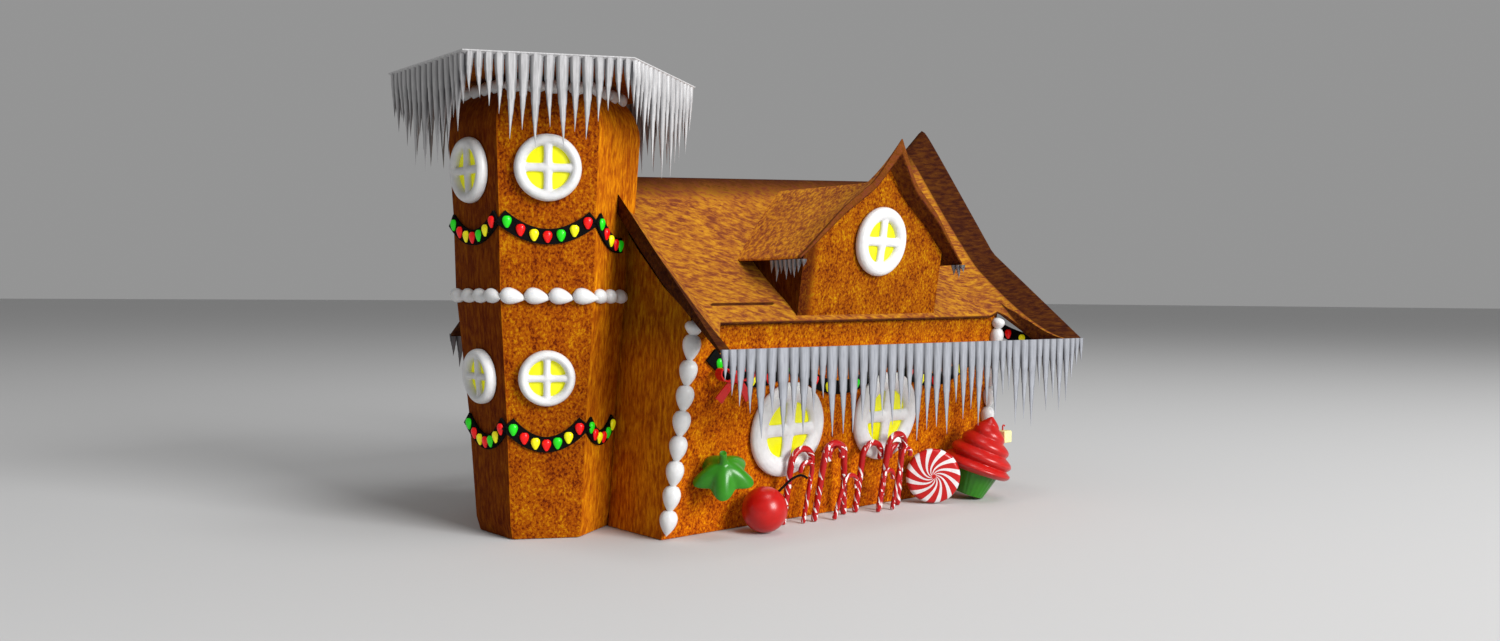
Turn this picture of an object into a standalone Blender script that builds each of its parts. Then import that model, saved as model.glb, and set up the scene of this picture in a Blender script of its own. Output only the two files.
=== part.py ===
"""Gingerbread house with a six-sided tower, iced windows, icicles and sweets.

Metres, +Z up. The origin is the middle of the house's footprint on the table.
The long front wall faces -Y, the ridge runs along X and the tower stands at
the left gable.
"""
import math

import bmesh
import bpy
from mathutils import Matrix, Vector

GAP = 0.0003                 # clearance between pieces that touch

# Walls: a block whose long walls lean out and whose gables lean in.
WALL_HALF_X = 0.147
WALL_HALF_Y = 0.0756
FRONT_LEAN = 0.158
END_LEAN = 0.035
WALL_TOP = 0.260

# Main roof: a concave slope with both gable ends swept up.
ROOF_LEFT = -0.1652
ROOF_RIGHT = 0.1705
EAVE_Y = 0.1476
EAVE_Z = 0.1131
RIDGE_Z = 0.2235
RIDGE_RISE = 0.0585
ROOF_CURVE = 1.7
LIP_PEAK_Z = 0.2748
LIP_KINK_Y = 0.0693
LIP_KINK_Z = 0.1750
LEFT_LIP_SLOPE = 0.805
LEFT_RAKE = 0.015            # the left edge leans in towards the ridge
LIP_CURVE = 1.3
LIP_RUN_LEFT = 0.037
LIP_RUN_EAVE = 0.031
LIP_RUN_RIDGE = 0.059
ROOF_THICK = 0.0120
EAVE_THICK = 0.0055            # over the walls
EAVE_TAPER = 0.020
HORN_THICK = 0.0020           # at the tips of the four corners
HORN_TAPER = 0.060
WALL_REACH = 0.0985           # the roof's edge over the long walls
ROOF_PLAN = ((-0.1652, EAVE_Y), (-0.1575, EAVE_Y), (-0.1534, 0.1392), (-0.1471, 0.1284), (-0.1352, 0.1117),
             (-0.1230, WALL_REACH), (0.1110, WALL_REACH), (0.1400, WALL_REACH), (0.1445, 0.1090),
             (0.1475, EAVE_Y), (0.1705, EAVE_Y))
ROOF_Y = (0.0, 0.018, 0.042, 0.0693)
OUTER_ROWS = (0.5, 1.0)

# Dormer in the middle of the front slope.
DORMER_X = 0.0050
DORMER_HALF_X = 0.0651
DORMER_ROOF_HALF_X = 0.0769
DORMER_RAKE = 0.0095
DORMER_EAVE_Z = 0.1641
DORMER_RIDGE_Z = 0.2150
DORMER_PEAK_Z = 0.2414
DORMER_KINK_X = 0.0182
DORMER_KINK_Z = 0.2149
DORMER_FLARE_X = 0.0444
DORMER_FLARE_Z = 0.1960
DORMER_SWEEP = 0.030
DORMER_THICK = 0.0045
DORMER_EAVE_THICK = 0.0018

# Tower: a hexagon with corners towards -Y and +Y.
TOWER_X = -0.1786
TOWER_SIDES = 6
TOWER_PROFILE = ((0.0, 0.0381), (0.008, 0.0404), (0.070, 0.0449), (0.1428, 0.0526),
                 (0.188, 0.0541), (0.2352, 0.0573))
SHOULDER_TOP_Z = 0.2657
SHOULDER_TOP_R = 0.026
SHOULDER_STEPS = 4
RIM_R = 0.0910
RIM_LOW_Z = 0.2661
RIM_HIGH_Z = 0.2700
RIM_CENTRE_Z = 0.2765

# Icicles.
ICICLE_BAR = 0.0030
ICICLE_BAR_THICK = 0.0026
EAVE_ICICLES_MM = (16, 24, 30, 34, 48, 36, 52, 40, 48, 36, 29, 51, 50, 50, 44, 55, 42, 48, 41, 37, 59, 53,
                   52, 57, 38, 49, 43, 54, 43, 51, 36, 33, 56, 53, 59, 33, 49, 41, 50, 44, 29, 20, 17)
RIM_SIDE_MM = (22, 31, 26, 40, 30, 52, 36, 57, 38, 55, 46, 44, 30, 38, 24)
RIM_FRONT_MM = (18, 21, 25, 29, 42, 37, 46, 35, 46, 37, 41, 31, 25, 21, 18)

# Windows: centre height, radius and relief.
WINDOW_RELIEF = 0.0060
PANE_THICK = 0.0012
WALL_CROSS = (0.46, 0.30)     # widths of ring and bar, as shares of the radius
TOWER_CROSS = (0.34, 0.26)
WINDOW_SEGMENTS = 12

# Piping.
CORNER_BEAD_R = 0.0055
CORNER_BEAD = 0.0143
CORNER_TOP_Z = 0.1180
CORNER_OFFSET = 0.0026
BAND_Z = 0.1400
BAND_BEAD_R = 0.0044
BEADS_PER_FACE = 4
CROWN_Z = 0.2585
CROWN_BEAD_R = 0.0050

# Garlands: a black lace with sweet bulbs.
GABLE_START_Y = 0.0800          # the right gable's garland: on the wall, then out to the corner tips
GABLE_Z = 0.1225
GABLE_TIP_X = 0.1550
GABLE_TIP_Y = 0.1400
GABLE_TIP_Z = 0.1100
GABLE_SAG = 0.0050
LACE_R = 0.0018
BULB_R = 0.0033

# Sweets in front of the house.
CANE_R = 0.0021
THIN_CANE_R = 0.0015
CANE_SIDES = 5
BALL_AT = (-0.0869, -0.0975)
BALL_R = 0.0137
MINT_AT = (0.0683, -0.0985)
MINT_R = 0.0187
MINT_THICK = 0.0080
MINT_FACING = math.radians(228.4)
CUPCAKE_AT = (0.1040, -0.1010)
CUPCAKE_TILT = math.radians(17.0)
CUP_LOW_R = 0.0100
CUP_HIGH_R = 0.0148
CUP_HEIGHT = 0.0165
SWIRL_R = 0.0222
SWIRL_HEIGHT = 0.0405
SWIRL_TURNS = 4.5
LEAF_AT = (-0.1190, 0.0410)
LEAF_R = 0.0175
CUBE_SIZE = 0.0085

for leftover in list(bpy.data.objects):
    bpy.data.objects.remove(leftover, do_unlink=True)


# ---------------------------------------------------------------- helpers

def material(name, colour, roughness=0.5, metallic=0.0):
    """A Principled material of one colour."""
    finish = bpy.data.materials.get(name) or bpy.data.materials.new(name)
    finish.use_nodes = True
    shader = finish.node_tree.nodes["Principled BSDF"]
    shader.inputs["Base Color"].default_value = (*colour, 1.0)
    shader.inputs["Roughness"].default_value = roughness
    shader.inputs["Metallic"].default_value = metallic
    return finish


GINGERBREAD = ("gingerbread", (0.42, 0.17, 0.02), 0.7)
ICING = ("royal icing", (0.90, 0.90, 0.91), 0.35)
ICE = ("ice sugar", (0.55, 0.57, 0.64), 0.25)
PANE = ("yellow sugar glass", (0.90, 0.88, 0.02), 0.2)
LACE = ("black lace", (0.01, 0.01, 0.01), 0.5)
RED = ("red sugar", (0.70, 0.02, 0.02), 0.2)
GREEN = ("green sugar", (0.05, 0.35, 0.03), 0.3)
CANE = ("candy cane", (0.75, 0.10, 0.10), 0.2)
CREAM = ("cream marshmallow", (0.88, 0.84, 0.45), 0.6)


def make_object(name, verts, faces, finish, smooth=False):
    """A mesh object with outward normals."""
    mesh = bpy.data.meshes.new(name)
    mesh.from_pydata([tuple(v) for v in verts], [], faces)
    build = bmesh.new()
    build.from_mesh(mesh)
    bmesh.ops.recalc_face_normals(build, faces=build.faces)
    build.to_mesh(mesh)
    build.free()
    obj = bpy.data.objects.new(name, mesh)
    bpy.context.scene.collection.objects.link(obj)
    if finish:
        mesh.materials.append(material(*finish))
    if smooth:
        mesh.shade_smooth()
        mesh.set_sharp_from_angle(angle=math.radians(40))
    return obj


def discard(obj):
    """Remove a cutter that has done its work."""
    bpy.data.objects.remove(obj, do_unlink=True)


def combine(obj, other, operation, keep_other=False):
    """Apply an exact Boolean of obj with other to obj's mesh."""
    modifier = obj.modifiers.new("boolean", "BOOLEAN")
    modifier.operation = operation
    modifier.object = other
    modifier.solver = "EXACT"
    depsgraph = bpy.context.evaluated_depsgraph_get()
    result = bpy.data.meshes.new_from_object(obj.evaluated_get(depsgraph))
    obj.modifiers.clear()
    obj.data = result
    if not keep_other:
        discard(other)


def keep_largest(obj):
    """Delete the crumbs that a cut leaves, and weld what it doubled."""
    build = bmesh.new()
    build.from_mesh(obj.data)
    bmesh.ops.remove_doubles(build, verts=build.verts, dist=1e-6)
    build.faces.ensure_lookup_table()
    unseen = set(build.faces)
    shells = []
    while unseen:
        stack = [unseen.pop()]
        shell = set(stack)
        while stack:
            for edge in stack.pop().edges:
                for face in edge.link_faces:
                    if face in unseen:
                        unseen.remove(face)
                        shell.add(face)
                        stack.append(face)
        shells.append(shell)
    shells.sort(key=lambda shell: sum(face.calc_area() for face in shell))
    for shell in shells[:-1]:
        bmesh.ops.delete(build, geom=list(shell), context="FACES")
    loose = [v for v in build.verts if not v.link_faces]
    bmesh.ops.delete(build, geom=loose, context="VERTS")
    build.to_mesh(obj.data)
    build.free()


def grid_slab(name, top, bottom, finish=None, smooth=False):
    """A closed slab between two grids of points with the same counts."""
    rows = len(top)
    columns = len(top[0])
    verts = [p for row in top for p in row] + [p for row in bottom for p in row]
    lower = rows * columns
    faces = []
    for i in range(rows - 1):
        for j in range(columns - 1):
            a = i * columns + j
            c = a + columns
            for triangle in ((a, a + 1, c + 1), (a, c + 1, c)):
                faces.append(triangle)
                faces.append(tuple(lower + k for k in reversed(triangle)))
    rim = [j for j in range(columns)]
    rim += [i * columns + columns - 1 for i in range(1, rows)]
    rim += [(rows - 1) * columns + j for j in range(columns - 2, -1, -1)]
    rim += [i * columns for i in range(rows - 2, 0, -1)]
    for k, a in enumerate(rim):
        b = rim[(k + 1) % len(rim)]
        faces.append((a, lower + a, lower + b, b))
    return make_object(name, verts, faces, finish, smooth)


def tube_body(name, rings, finish, smooth=True, tips=None):
    """A closed body through rings of points, with flat ends or two pointed tips."""
    sides = len(rings[0])
    verts = [p for ring in rings for p in ring]
    faces = []
    for i in range(len(rings) - 1):
        for j in range(sides):
            a = i * sides + j
            b = i * sides + (j + 1) % sides
            faces.append((a, b, b + sides, a + sides))
    if tips:
        first = len(verts)
        verts += tips
        last_ring = (len(rings) - 1) * sides
        for j in range(sides):
            faces.append((first, (j + 1) % sides, j))
            faces.append((first + 1, last_ring + j, last_ring + (j + 1) % sides))
    else:
        faces.append(tuple(reversed(range(sides))))
        faces.append(tuple(range((len(rings) - 1) * sides, len(rings) * sides)))
    return make_object(name, verts, faces, finish, smooth)


def sweep(name, points, radii, sides, finish, normal, flatten=1.0):
    """A round or flattened string through points, with its own radius at each."""
    rings = []
    normal = Vector(normal).normalized() if not callable(normal) else normal
    for i, point in enumerate(points):
        before = points[max(i - 1, 0)]
        after = points[min(i + 1, len(points) - 1)]
        along = (after - before).normalized()
        out = normal(point) if callable(normal) else normal
        side = along.cross(out).normalized()
        out = side.cross(along).normalized()
        ring = []
        for j in range(sides):
            angle = 2.0 * math.pi * (j + 0.5) / sides
            ring.append(point + radii[i] * (math.cos(angle) * side + flatten * math.sin(angle) * out))
        rings.append(ring)
    return tube_body(name, rings, finish)


# ---------------------------------------------------------------- the walls

def wall_y(z):
    """Distance of the long walls' outer face from the ridge plane."""
    return WALL_HALF_Y + FRONT_LEAN * z


def wall_block(name, grow, low, high, finish=None):
    """The walls as one leaning block, grown by a clearance."""
    verts = []
    for z in (low, high):
        x = WALL_HALF_X - END_LEAN * z + grow
        y = wall_y(z) + grow * math.hypot(1.0, FRONT_LEAN)
        verts += [Vector((-x, -y, z)), Vector((x, -y, z)), Vector((x, y, z)), Vector((-x, y, z))]
    faces = [(3, 2, 1, 0), (4, 5, 6, 7)]
    faces += [(i, (i + 1) % 4, (i + 1) % 4 + 4, i + 4) for i in range(4)]
    return make_object(name, verts, faces, finish)


def ridge_z(x):
    """The ridge climbs a little to the right."""
    return RIDGE_Z + RIDGE_RISE * x


def lip_z(distance):
    """Height of the swept-up right gable edge at a distance from the ridge plane."""
    if distance < LIP_KINK_Y:
        return LIP_PEAK_Z + (LIP_KINK_Z - LIP_PEAK_Z) * distance / LIP_KINK_Y
    return LIP_KINK_Z + (EAVE_Z - LIP_KINK_Z) * (distance - LIP_KINK_Y) / (EAVE_Y - LIP_KINK_Y)


def roof_top(x, y):
    """Height of the roof's upper surface."""
    distance = min(abs(y), EAVE_Y)
    climb = 1.0 - distance / EAVE_Y
    base = EAVE_Z + (ridge_z(x) - EAVE_Z) * climb ** ROOF_CURVE
    if x < 0.0:
        sweep_up = max(0.0, ((ROOF_LEFT + LIP_RUN_LEFT) - x) / LIP_RUN_LEFT) ** LIP_CURVE
        return base + (EAVE_Z + LEFT_LIP_SLOPE * (EAVE_Y - distance) - base) * sweep_up
    run = LIP_RUN_EAVE + (LIP_RUN_RIDGE - LIP_RUN_EAVE) * climb
    sweep_up = max(0.0, (x - (ROOF_RIGHT - run)) / run) ** LIP_CURVE
    return base + (lip_z(distance) - base) * sweep_up


def roof_under(x, y, reach):
    """Height of the roof's underside, thinner towards its edge and most at the corners."""
    horn = (reach - WALL_REACH) / (EAVE_Y - WALL_REACH)
    edge = EAVE_THICK + (HORN_THICK - EAVE_THICK) * horn
    taper = EAVE_TAPER + (HORN_TAPER - EAVE_TAPER) * horn
    inside = min(1.0, (reach - abs(y)) / taper)
    return roof_top(x, y) - (edge + (ROOF_THICK - edge) * inside)


def roof_grid(height):
    """The roof's grid of points at the heights that a function of x, y and reach gives."""
    inner = [-y for y in reversed(ROOF_Y)] + list(ROOF_Y[1:])
    rows = []
    for side in (-1, 1):
        outer = []
        for share in OUTER_ROWS:
            outer.append([(x, side * (ROOF_Y[-1] + (reach - ROOF_Y[-1]) * share), reach) for x, reach in ROOF_PLAN])
        rows += outer if side > 0 else list(reversed(outer))
        if side < 0:
            rows += [[(x, y, reach) for x, reach in ROOF_PLAN] for y in inner]
    grid = []
    for row in rows:
        line = []
        for x, y, reach in row:
            lean = LEFT_RAKE * (1.0 - abs(y) / EAVE_Y) * max(0.0, (ROOF_LEFT + LIP_RUN_LEFT) - x) / LIP_RUN_LEFT
            line.append(Vector((x + lean, y, height(x, y, reach))))
        grid.append(line)
    return grid


def roof_slab(name, lift, drop, finish=None):
    """The roof grown by a clearance above and below."""
    top = roof_grid(lambda x, y, reach: roof_top(x, y) + lift)
    bottom = roof_grid(lambda x, y, reach: roof_under(x, y, reach) - drop)
    return grid_slab(name, top, bottom, finish)


def space_over_walls():
    """Everything above the roof's underside."""
    top = roof_grid(lambda x, y, reach: 0.34)
    bottom = roof_grid(lambda x, y, reach: roof_under(x, y, reach) - 2 * GAP)
    return grid_slab("over walls", top, bottom)


def space_under_roof_top():
    """Everything below the roof's upper surface."""
    top = roof_grid(lambda x, y, reach: roof_top(x, y) + GAP)
    bottom = roof_grid(lambda x, y, reach: 0.02)
    return grid_slab("under roof", top, bottom)


# ---------------------------------------------------------------- the tower

def tower_rings():
    """Height and corner radius from the foot to the top of the shoulder."""
    rings = list(TOWER_PROFILE)
    z0, r0 = rings[-1]
    for i in range(1, SHOULDER_STEPS + 1):
        turn = 0.5 * math.pi * i / SHOULDER_STEPS
        z = z0 + (SHOULDER_TOP_Z - z0) * math.sin(turn)
        r = SHOULDER_TOP_R + (r0 - SHOULDER_TOP_R) * math.cos(turn)
        rings.append((z, r))
    return rings


def tower_radius(z):
    """Corner radius of the tower at a height."""
    rings = tower_rings()
    for (z0, r0), (z1, r1) in zip(rings, rings[1:]):
        if z <= z1:
            return r0 + (r1 - r0) * (z - z0) / (z1 - z0)
    return rings[-1][1]


def hexagon(radius, z):
    """The six corners of a level hexagon round the tower's axis."""
    corners = []
    for i in range(TOWER_SIDES):
        angle = math.radians(30 + 60 * i)
        corners.append(Vector((TOWER_X + radius * math.cos(angle), radius * math.sin(angle), z)))
    return corners


def tower_block(name, grow, low, finish=None):
    """The tower as one closed body, grown by a clearance."""
    widen = grow / math.cos(math.pi / TOWER_SIDES)
    rings = [hexagon(r + widen, z) for z, r in tower_rings()]
    rings[0] = [Vector((p.x, p.y, low)) for p in rings[0]]
    rings[-1] = [Vector((p.x, p.y, SHOULDER_TOP_Z + grow)) for p in rings[-1]]
    return tube_body(name, rings, finish, smooth=False)


def face_frame(degrees, z):
    """Middle, tangent, up and normal of a tower face at a height."""
    angle = math.radians(degrees)
    out = Vector((math.cos(angle), math.sin(angle), 0))
    apothem = tower_radius(z) * math.cos(math.pi / TOWER_SIDES)
    step = 0.002
    lean = (tower_radius(z + step) - tower_radius(z - step)) * math.cos(math.pi / TOWER_SIDES) / (2 * step)
    up = (Vector((0, 0, 1)) + lean * out).normalized()
    tangent = Vector((-out.y, out.x, 0))
    normal = tangent.cross(up).normalized()
    return Vector((TOWER_X, 0, z)) + apothem * out, tangent, up, normal


def build_tower():
    """The solid tower and its low hexagonal roof."""
    tower_block("tower_walls", 0.0, 0.0, GINGERBREAD)
    verts = hexagon(RIM_R, RIM_LOW_Z) + hexagon(RIM_R, RIM_HIGH_Z) + [Vector((TOWER_X, 0, RIM_CENTRE_Z))]
    faces = [tuple(range(6))]
    faces += [(i, (i + 1) % 6, (i + 1) % 6 + 6, i + 6) for i in range(6)]
    faces += [(i + 6, (i + 1) % 6 + 6, 12) for i in range(6)]
    make_object("tower_roof", verts, faces, GINGERBREAD)


# ---------------------------------------------------------------- the dormer

def dormer_front_z(x):
    """Height of the dormer roof's front edge: swept up to a point."""
    x = abs(x)
    stops = ((0.0, DORMER_PEAK_Z), (DORMER_KINK_X, DORMER_KINK_Z),
             (DORMER_FLARE_X, DORMER_FLARE_Z), (DORMER_ROOF_HALF_X, DORMER_EAVE_Z))
    for (x0, z0), (x1, z1) in zip(stops, stops[1:]):
        if x <= x1:
            return z0 + (z1 - z0) * (x - x0) / (x1 - x0)
    return DORMER_EAVE_Z


def dormer_grid(under):
    """Grid of the dormer roof's upper side or underside, lowered by a clearance."""
    half = (0.0, 0.008, DORMER_KINK_X, 0.030, DORMER_FLARE_X, 0.0605, DORMER_ROOF_HALF_X)
    across = [-x for x in reversed(half)] + list(half[1:])
    rows = []
    for back in (0.0, 0.008, 0.018, DORMER_SWEEP, 0.062, 0.115):
        row = []
        for x in across:
            reach = 1.0 - abs(x) / DORMER_ROOF_HALF_X
            base = DORMER_EAVE_Z + (DORMER_RIDGE_Z - DORMER_EAVE_Z) * reach
            front = dormer_front_z(x)
            flare = (front - base) * max(0.0, 1.0 - back / DORMER_SWEEP) ** LIP_CURVE
            y = -(wall_y(front) + DORMER_RAKE) + back
            z = base + flare
            if under is not None:
                thick = DORMER_EAVE_THICK + (DORMER_THICK - DORMER_EAVE_THICK) * reach
                z = base - thick + 0.15 * flare - under
            row.append(Vector((DORMER_X + x, min(y, -0.004), z)))
        rows.append(row)
    return rows


def build_dormer():
    """The dormer's wall block on the roof, and its own roof."""
    roof = grid_slab("dormer_roof", dormer_grid(None), dormer_grid(0.0), GINGERBREAD)
    combine(roof, space_under_roof_top(), "DIFFERENCE")
    keep_largest(roof)
    low, high, back = 0.105, 0.290, 0.020
    verts = []
    for z in (low, high):
        front = -wall_y(z)
        left, right = DORMER_X - DORMER_HALF_X, DORMER_X + DORMER_HALF_X
        verts += [Vector((left, front, z)), Vector((right, front, z)), Vector((right, -back, z)),
                  Vector((left, -back, z))]
    faces = [(3, 2, 1, 0), (4, 5, 6, 7)]
    faces += [(i, (i + 1) % 4, (i + 1) % 4 + 4, i + 4) for i in range(4)]
    block = make_object("dormer_walls", verts, faces, GINGERBREAD)
    under = dormer_grid(1.5 * GAP)
    over = [[Vector((p.x, p.y, 0.34)) for p in row] for row in under]
    combine(block, grid_slab("over dormer", over, under), "DIFFERENCE")
    combine(block, space_under_roof_top(), "DIFFERENCE")
    keep_largest(block)


def build_house():
    """The wall block and the main roof, both notched round the tower."""
    walls = wall_block("house_walls", 0.0, 0.0, WALL_TOP, GINGERBREAD)
    combine(walls, space_over_walls(), "DIFFERENCE")
    combine(walls, tower_block("notch", GAP, -0.01), "DIFFERENCE")
    keep_largest(walls)
    roof = roof_slab("main_roof", 0.0, 0.0, GINGERBREAD)
    combine(roof, tower_block("notch", GAP, -0.01), "DIFFERENCE")
    keep_largest(roof)


# ---------------------------------------------------------------- icicles

def icicle_border(name, stations, lengths, closed=False):
    """A bar of ice sugar with one tapered icicle under each of its cells.

    Each station is the bar's top middle and the vector to its outer edge.
    """
    verts = []
    faces = []
    for middle, reach in stations:
        down = Vector((0, 0, -ICICLE_BAR))
        verts += [middle + reach, middle - reach, middle + reach + down, middle - reach + down]
    count = len(stations)
    cells = count if closed else count - 1
    for i in range(cells):
        a = 4 * i
        b = 4 * ((i + 1) % count)
        faces += [(a, b, b + 1, a + 1), (a, a + 2, b + 2, b), (a + 1, b + 1, b + 3, a + 3)]
        corners = (a + 2, b + 2, b + 3, a + 3)
        centre = sum((verts[k] for k in corners), Vector()) / 4.0
        length = lengths[i] / 1000.0
        tip = len(verts)
        verts.append(centre + Vector((0, 0, -length)))
        faces += [(corners[k], tip, corners[(k + 1) % 4]) for k in range(4)]
    if not closed:
        last = 4 * (count - 1)
        faces += [(0, 1, 3, 2), (last, last + 2, last + 3, last + 1)]
    return make_object(name, verts, faces, ICE)


def spread(lengths):
    """Places of the cell edges along a row, wider cells for longer icicles."""
    widths = [28.0 + length for length in lengths]
    total = sum(widths)
    edges = [0.0]
    for width in widths:
        edges.append(edges[-1] + width / total)
    return edges


def build_eave_icicles():
    """One row along each long eave, in front of its edge."""
    half = ICICLE_BAR_THICK / 2
    for name, side in (("icicles_front", -1), ("icicles_back", 1)):
        y = side * (EAVE_Y + GAP + half)
        stations = []
        for place in spread(EAVE_ICICLES_MM):
            x = ROOF_LEFT + (ROOF_RIGHT - ROOF_LEFT) * place
            stations.append((Vector((x, y, EAVE_Z - 0.0002)), Vector((0, side * half, 0))))
        icicle_border(name, stations, EAVE_ICICLES_MM)


def build_rim_icicles():
    """The ring of icicles under the tower roof's rim."""
    half = ICICLE_BAR_THICK / 2
    corners = hexagon(RIM_R - 2 * half, RIM_LOW_Z - GAP)
    stations = []
    lengths = []
    for i in range(TOWER_SIDES):
        row = RIM_SIDE_MM if i in (0, 2, 4) else RIM_FRONT_MM
        lengths += row
        start = corners[i]
        end = corners[(i + 1) % TOWER_SIDES]
        out = (end - start).cross(Vector((0, 0, 1))).normalized()
        mitre = Vector((start.x - TOWER_X, start.y, 0)).normalized() * half / math.cos(math.pi / 6)
        stations.append((start, mitre))
        for place in spread(row)[1:-1]:
            stations.append((start.lerp(end, place), out * half))
    icicle_border("icicles_tower", stations, lengths, closed=True)


# ---------------------------------------------------------------- windows

def revolve(name, profile, segments, place, finish):
    """A closed ring from a profile of (radius, height) points."""
    count = len(profile)
    verts = []
    for i in range(segments):
        angle = 2.0 * math.pi * i / segments
        for radius, height in profile:
            verts.append(place @ Vector((radius * math.cos(angle), radius * math.sin(angle), height)))
    faces = []
    for i in range(segments):
        for j in range(count):
            a = i * count + j
            b = i * count + (j + 1) % count
            c = ((i + 1) % segments) * count + (j + 1) % count
            d = ((i + 1) % segments) * count + j
            faces.append((a, b, c, d))
    return make_object(name, verts, faces, finish)


def glazing_bar(name, half_length, half_width, low, high, place):
    """One bar of the cross, with a roof-shaped top."""
    verts = []
    for end in (-half_length, half_length):
        verts += [Vector((end, -half_width, low)), Vector((end, half_width, low)),
                  Vector((end, half_width * 0.55, high)), Vector((end, -half_width * 0.55, high))]
    verts = [place @ v for v in verts]
    faces = [(3, 2, 1, 0), (4, 5, 6, 7)]
    faces += [(i, (i + 1) % 4, (i + 1) % 4 + 4, i + 4) for i in range(4)]
    return make_object(name, verts, faces, None)


def window(name, middle, right, up, normal, radius, cross):
    """A round window: yellow pane, iced ring and iced cross."""
    place = Matrix((right, up, normal)).transposed().to_4x4()
    place.translation = middle + normal * GAP
    width = cross[0] * radius
    inner = radius - width
    ring = ((inner, 0.0), (inner + 0.25 * width, WINDOW_RELIEF),
            (radius - 0.30 * width, WINDOW_RELIEF), (radius, 0.0))
    frame = revolve(name + "_frame", ring, WINDOW_SEGMENTS, place, ICING)
    bar = cross[1] * radius / 2
    reach = inner + 0.35 * width
    low = PANE_THICK + GAP
    for turn, high in ((0.0, 0.75 * WINDOW_RELIEF), (0.5 * math.pi, 0.78 * WINDOW_RELIEF)):
        spin = place @ Matrix.Rotation(turn, 4, "Z")
        combine(frame, glazing_bar("bar", reach, bar, low, high, spin), "UNION")
    keep_largest(frame)
    edge = inner * math.cos(math.pi / WINDOW_SEGMENTS) - GAP
    rings = []
    for height in (0.0, PANE_THICK):
        ring_points = []
        for i in range(WINDOW_SEGMENTS):
            angle = 2.0 * math.pi * (i + 0.5) / WINDOW_SEGMENTS
            ring_points.append(place @ Vector((edge * math.cos(angle), edge * math.sin(angle), height)))
        rings.append(ring_points)
    tube_body(name + "_pane", rings, PANE, smooth=False)


def build_windows():
    """Windows on the tower, the long walls and the dormer."""
    for face, degrees in (("front", 240), ("side", 180), ("rear", 120)):
        for level, z, radius in (("low", 0.0935, 0.0161), ("high", 0.2121, 0.0189)):
            middle, tangent, up, normal = face_frame(degrees, z)
            window("window_tower_" + face + "_" + level, middle, tangent, up, normal, radius, TOWER_CROSS)
    for side, label in ((-1, "front"), (1, "back")):
        up = Vector((0, side * FRONT_LEAN, 1)).normalized()
        right = Vector((-side, 0, 0))
        normal = right.cross(up)
        for x, z, end in ((-0.0587, 0.0595, "left"), (0.0307, 0.0625, "right")):
            middle = Vector((x, side * wall_y(z), z))
            window("window_" + label + "_" + end, middle, right, up, normal, 0.0301, WALL_CROSS)
    up = Vector((0, -FRONT_LEAN, 1)).normalized()
    right = Vector((1, 0, 0))
    middle = Vector((DORMER_X, -wall_y(0.1772), 0.1772))
    window("window_dormer", middle, right, up, right.cross(up), 0.0224, WALL_CROSS)


# ---------------------------------------------------------------- piping

BEAD_SHAPE = ((0.0, 0.40), (0.35, 1.0))


def bead_stations(path, beads, radius, shape=BEAD_SHAPE):
    """Points and radii of a string of shells along a straight or bent path."""
    lengths = [(b - a).length for a, b in zip(path, path[1:])]
    total = sum(lengths)

    def point_at(distance):
        for a, b, length in zip(path, path[1:], lengths):
            if distance <= length + 1e-9:
                return a.lerp(b, distance / length)
            distance -= length
        return path[-1].copy()

    points = []
    radii = []
    for i in range(beads):
        for place, share in shape:
            points.append(point_at(total * (i + place) / beads))
            radii.append(radius * share)
    points.append(point_at(total))
    radii.append(radius * shape[0][1])
    return points, radii


def build_corner_piping():
    """Shells piped down the four corners of the house."""
    for name, sx, sy in (("piping_front_left", -1, -1), ("piping_front_right", 1, -1),
                         ("piping_back_right", 1, 1), ("piping_back_left", -1, 1)):
        path = []
        for z in (CORNER_TOP_Z, CORNER_BEAD_R * 0.5):
            x = WALL_HALF_X - END_LEAN * z + CORNER_OFFSET
            y = wall_y(z) + CORNER_OFFSET
            path.append(Vector((sx * x, sy * y, z)))
        beads = round((path[1] - path[0]).length / CORNER_BEAD)
        points, radii = bead_stations(path, beads, CORNER_BEAD_R)
        string = sweep(name, points, radii, 4, ICING, (sx, sy, 0))
        combine(string, wall_block("wedge", GAP, -0.01, WALL_TOP), "DIFFERENCE")
        combine(string, roof_slab("roof space", GAP, GAP), "DIFFERENCE")
        keep_largest(string)


def radial(point):
    """Direction away from the tower's axis."""
    return Vector((point.x - TOWER_X, point.y, 0)).normalized()


def tower_path(z, offset, degrees_list):
    """Corner points of a level path round the tower at an offset from its faces."""
    radius = tower_radius(z) + offset / math.cos(math.pi / 6)
    return [Vector((TOWER_X + radius * math.cos(math.radians(d)), radius * math.sin(math.radians(d)), z))
            for d in degrees_list]


def build_tower_piping():
    """The band of shells half way up, and the crown of dabs under the roof."""
    corners = tower_path(BAND_Z, BAND_BEAD_R * 0.45, (330, 270, 210, 150, 90, 30))
    points, radii = bead_stations(corners, BEADS_PER_FACE * 5, BAND_BEAD_R)
    band = sweep("piping_tower_band", points, radii, 4, ICING, radial)
    combine(band, tower_block("core", GAP, -0.01), "DIFFERENCE")
    combine(band, wall_block("wedge", GAP, -0.01, WALL_TOP), "DIFFERENCE")
    combine(band, roof_slab("roof space", GAP, GAP), "DIFFERENCE")
    keep_largest(band)
    dabs = ((0.0, 0.42), (0.5, 1.0))
    corners = tower_path(CROWN_Z, 0.0022, tuple(range(30, 331, 60)))
    points, radii = bead_stations(corners, 20, CROWN_BEAD_R, dabs)
    crown = sweep("piping_tower_crown", points, radii, 4, ICING, radial)
    combine(crown, tower_block("core", GAP, -0.01), "DIFFERENCE")
    keep_largest(crown)


# ---------------------------------------------------------------- garlands

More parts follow.
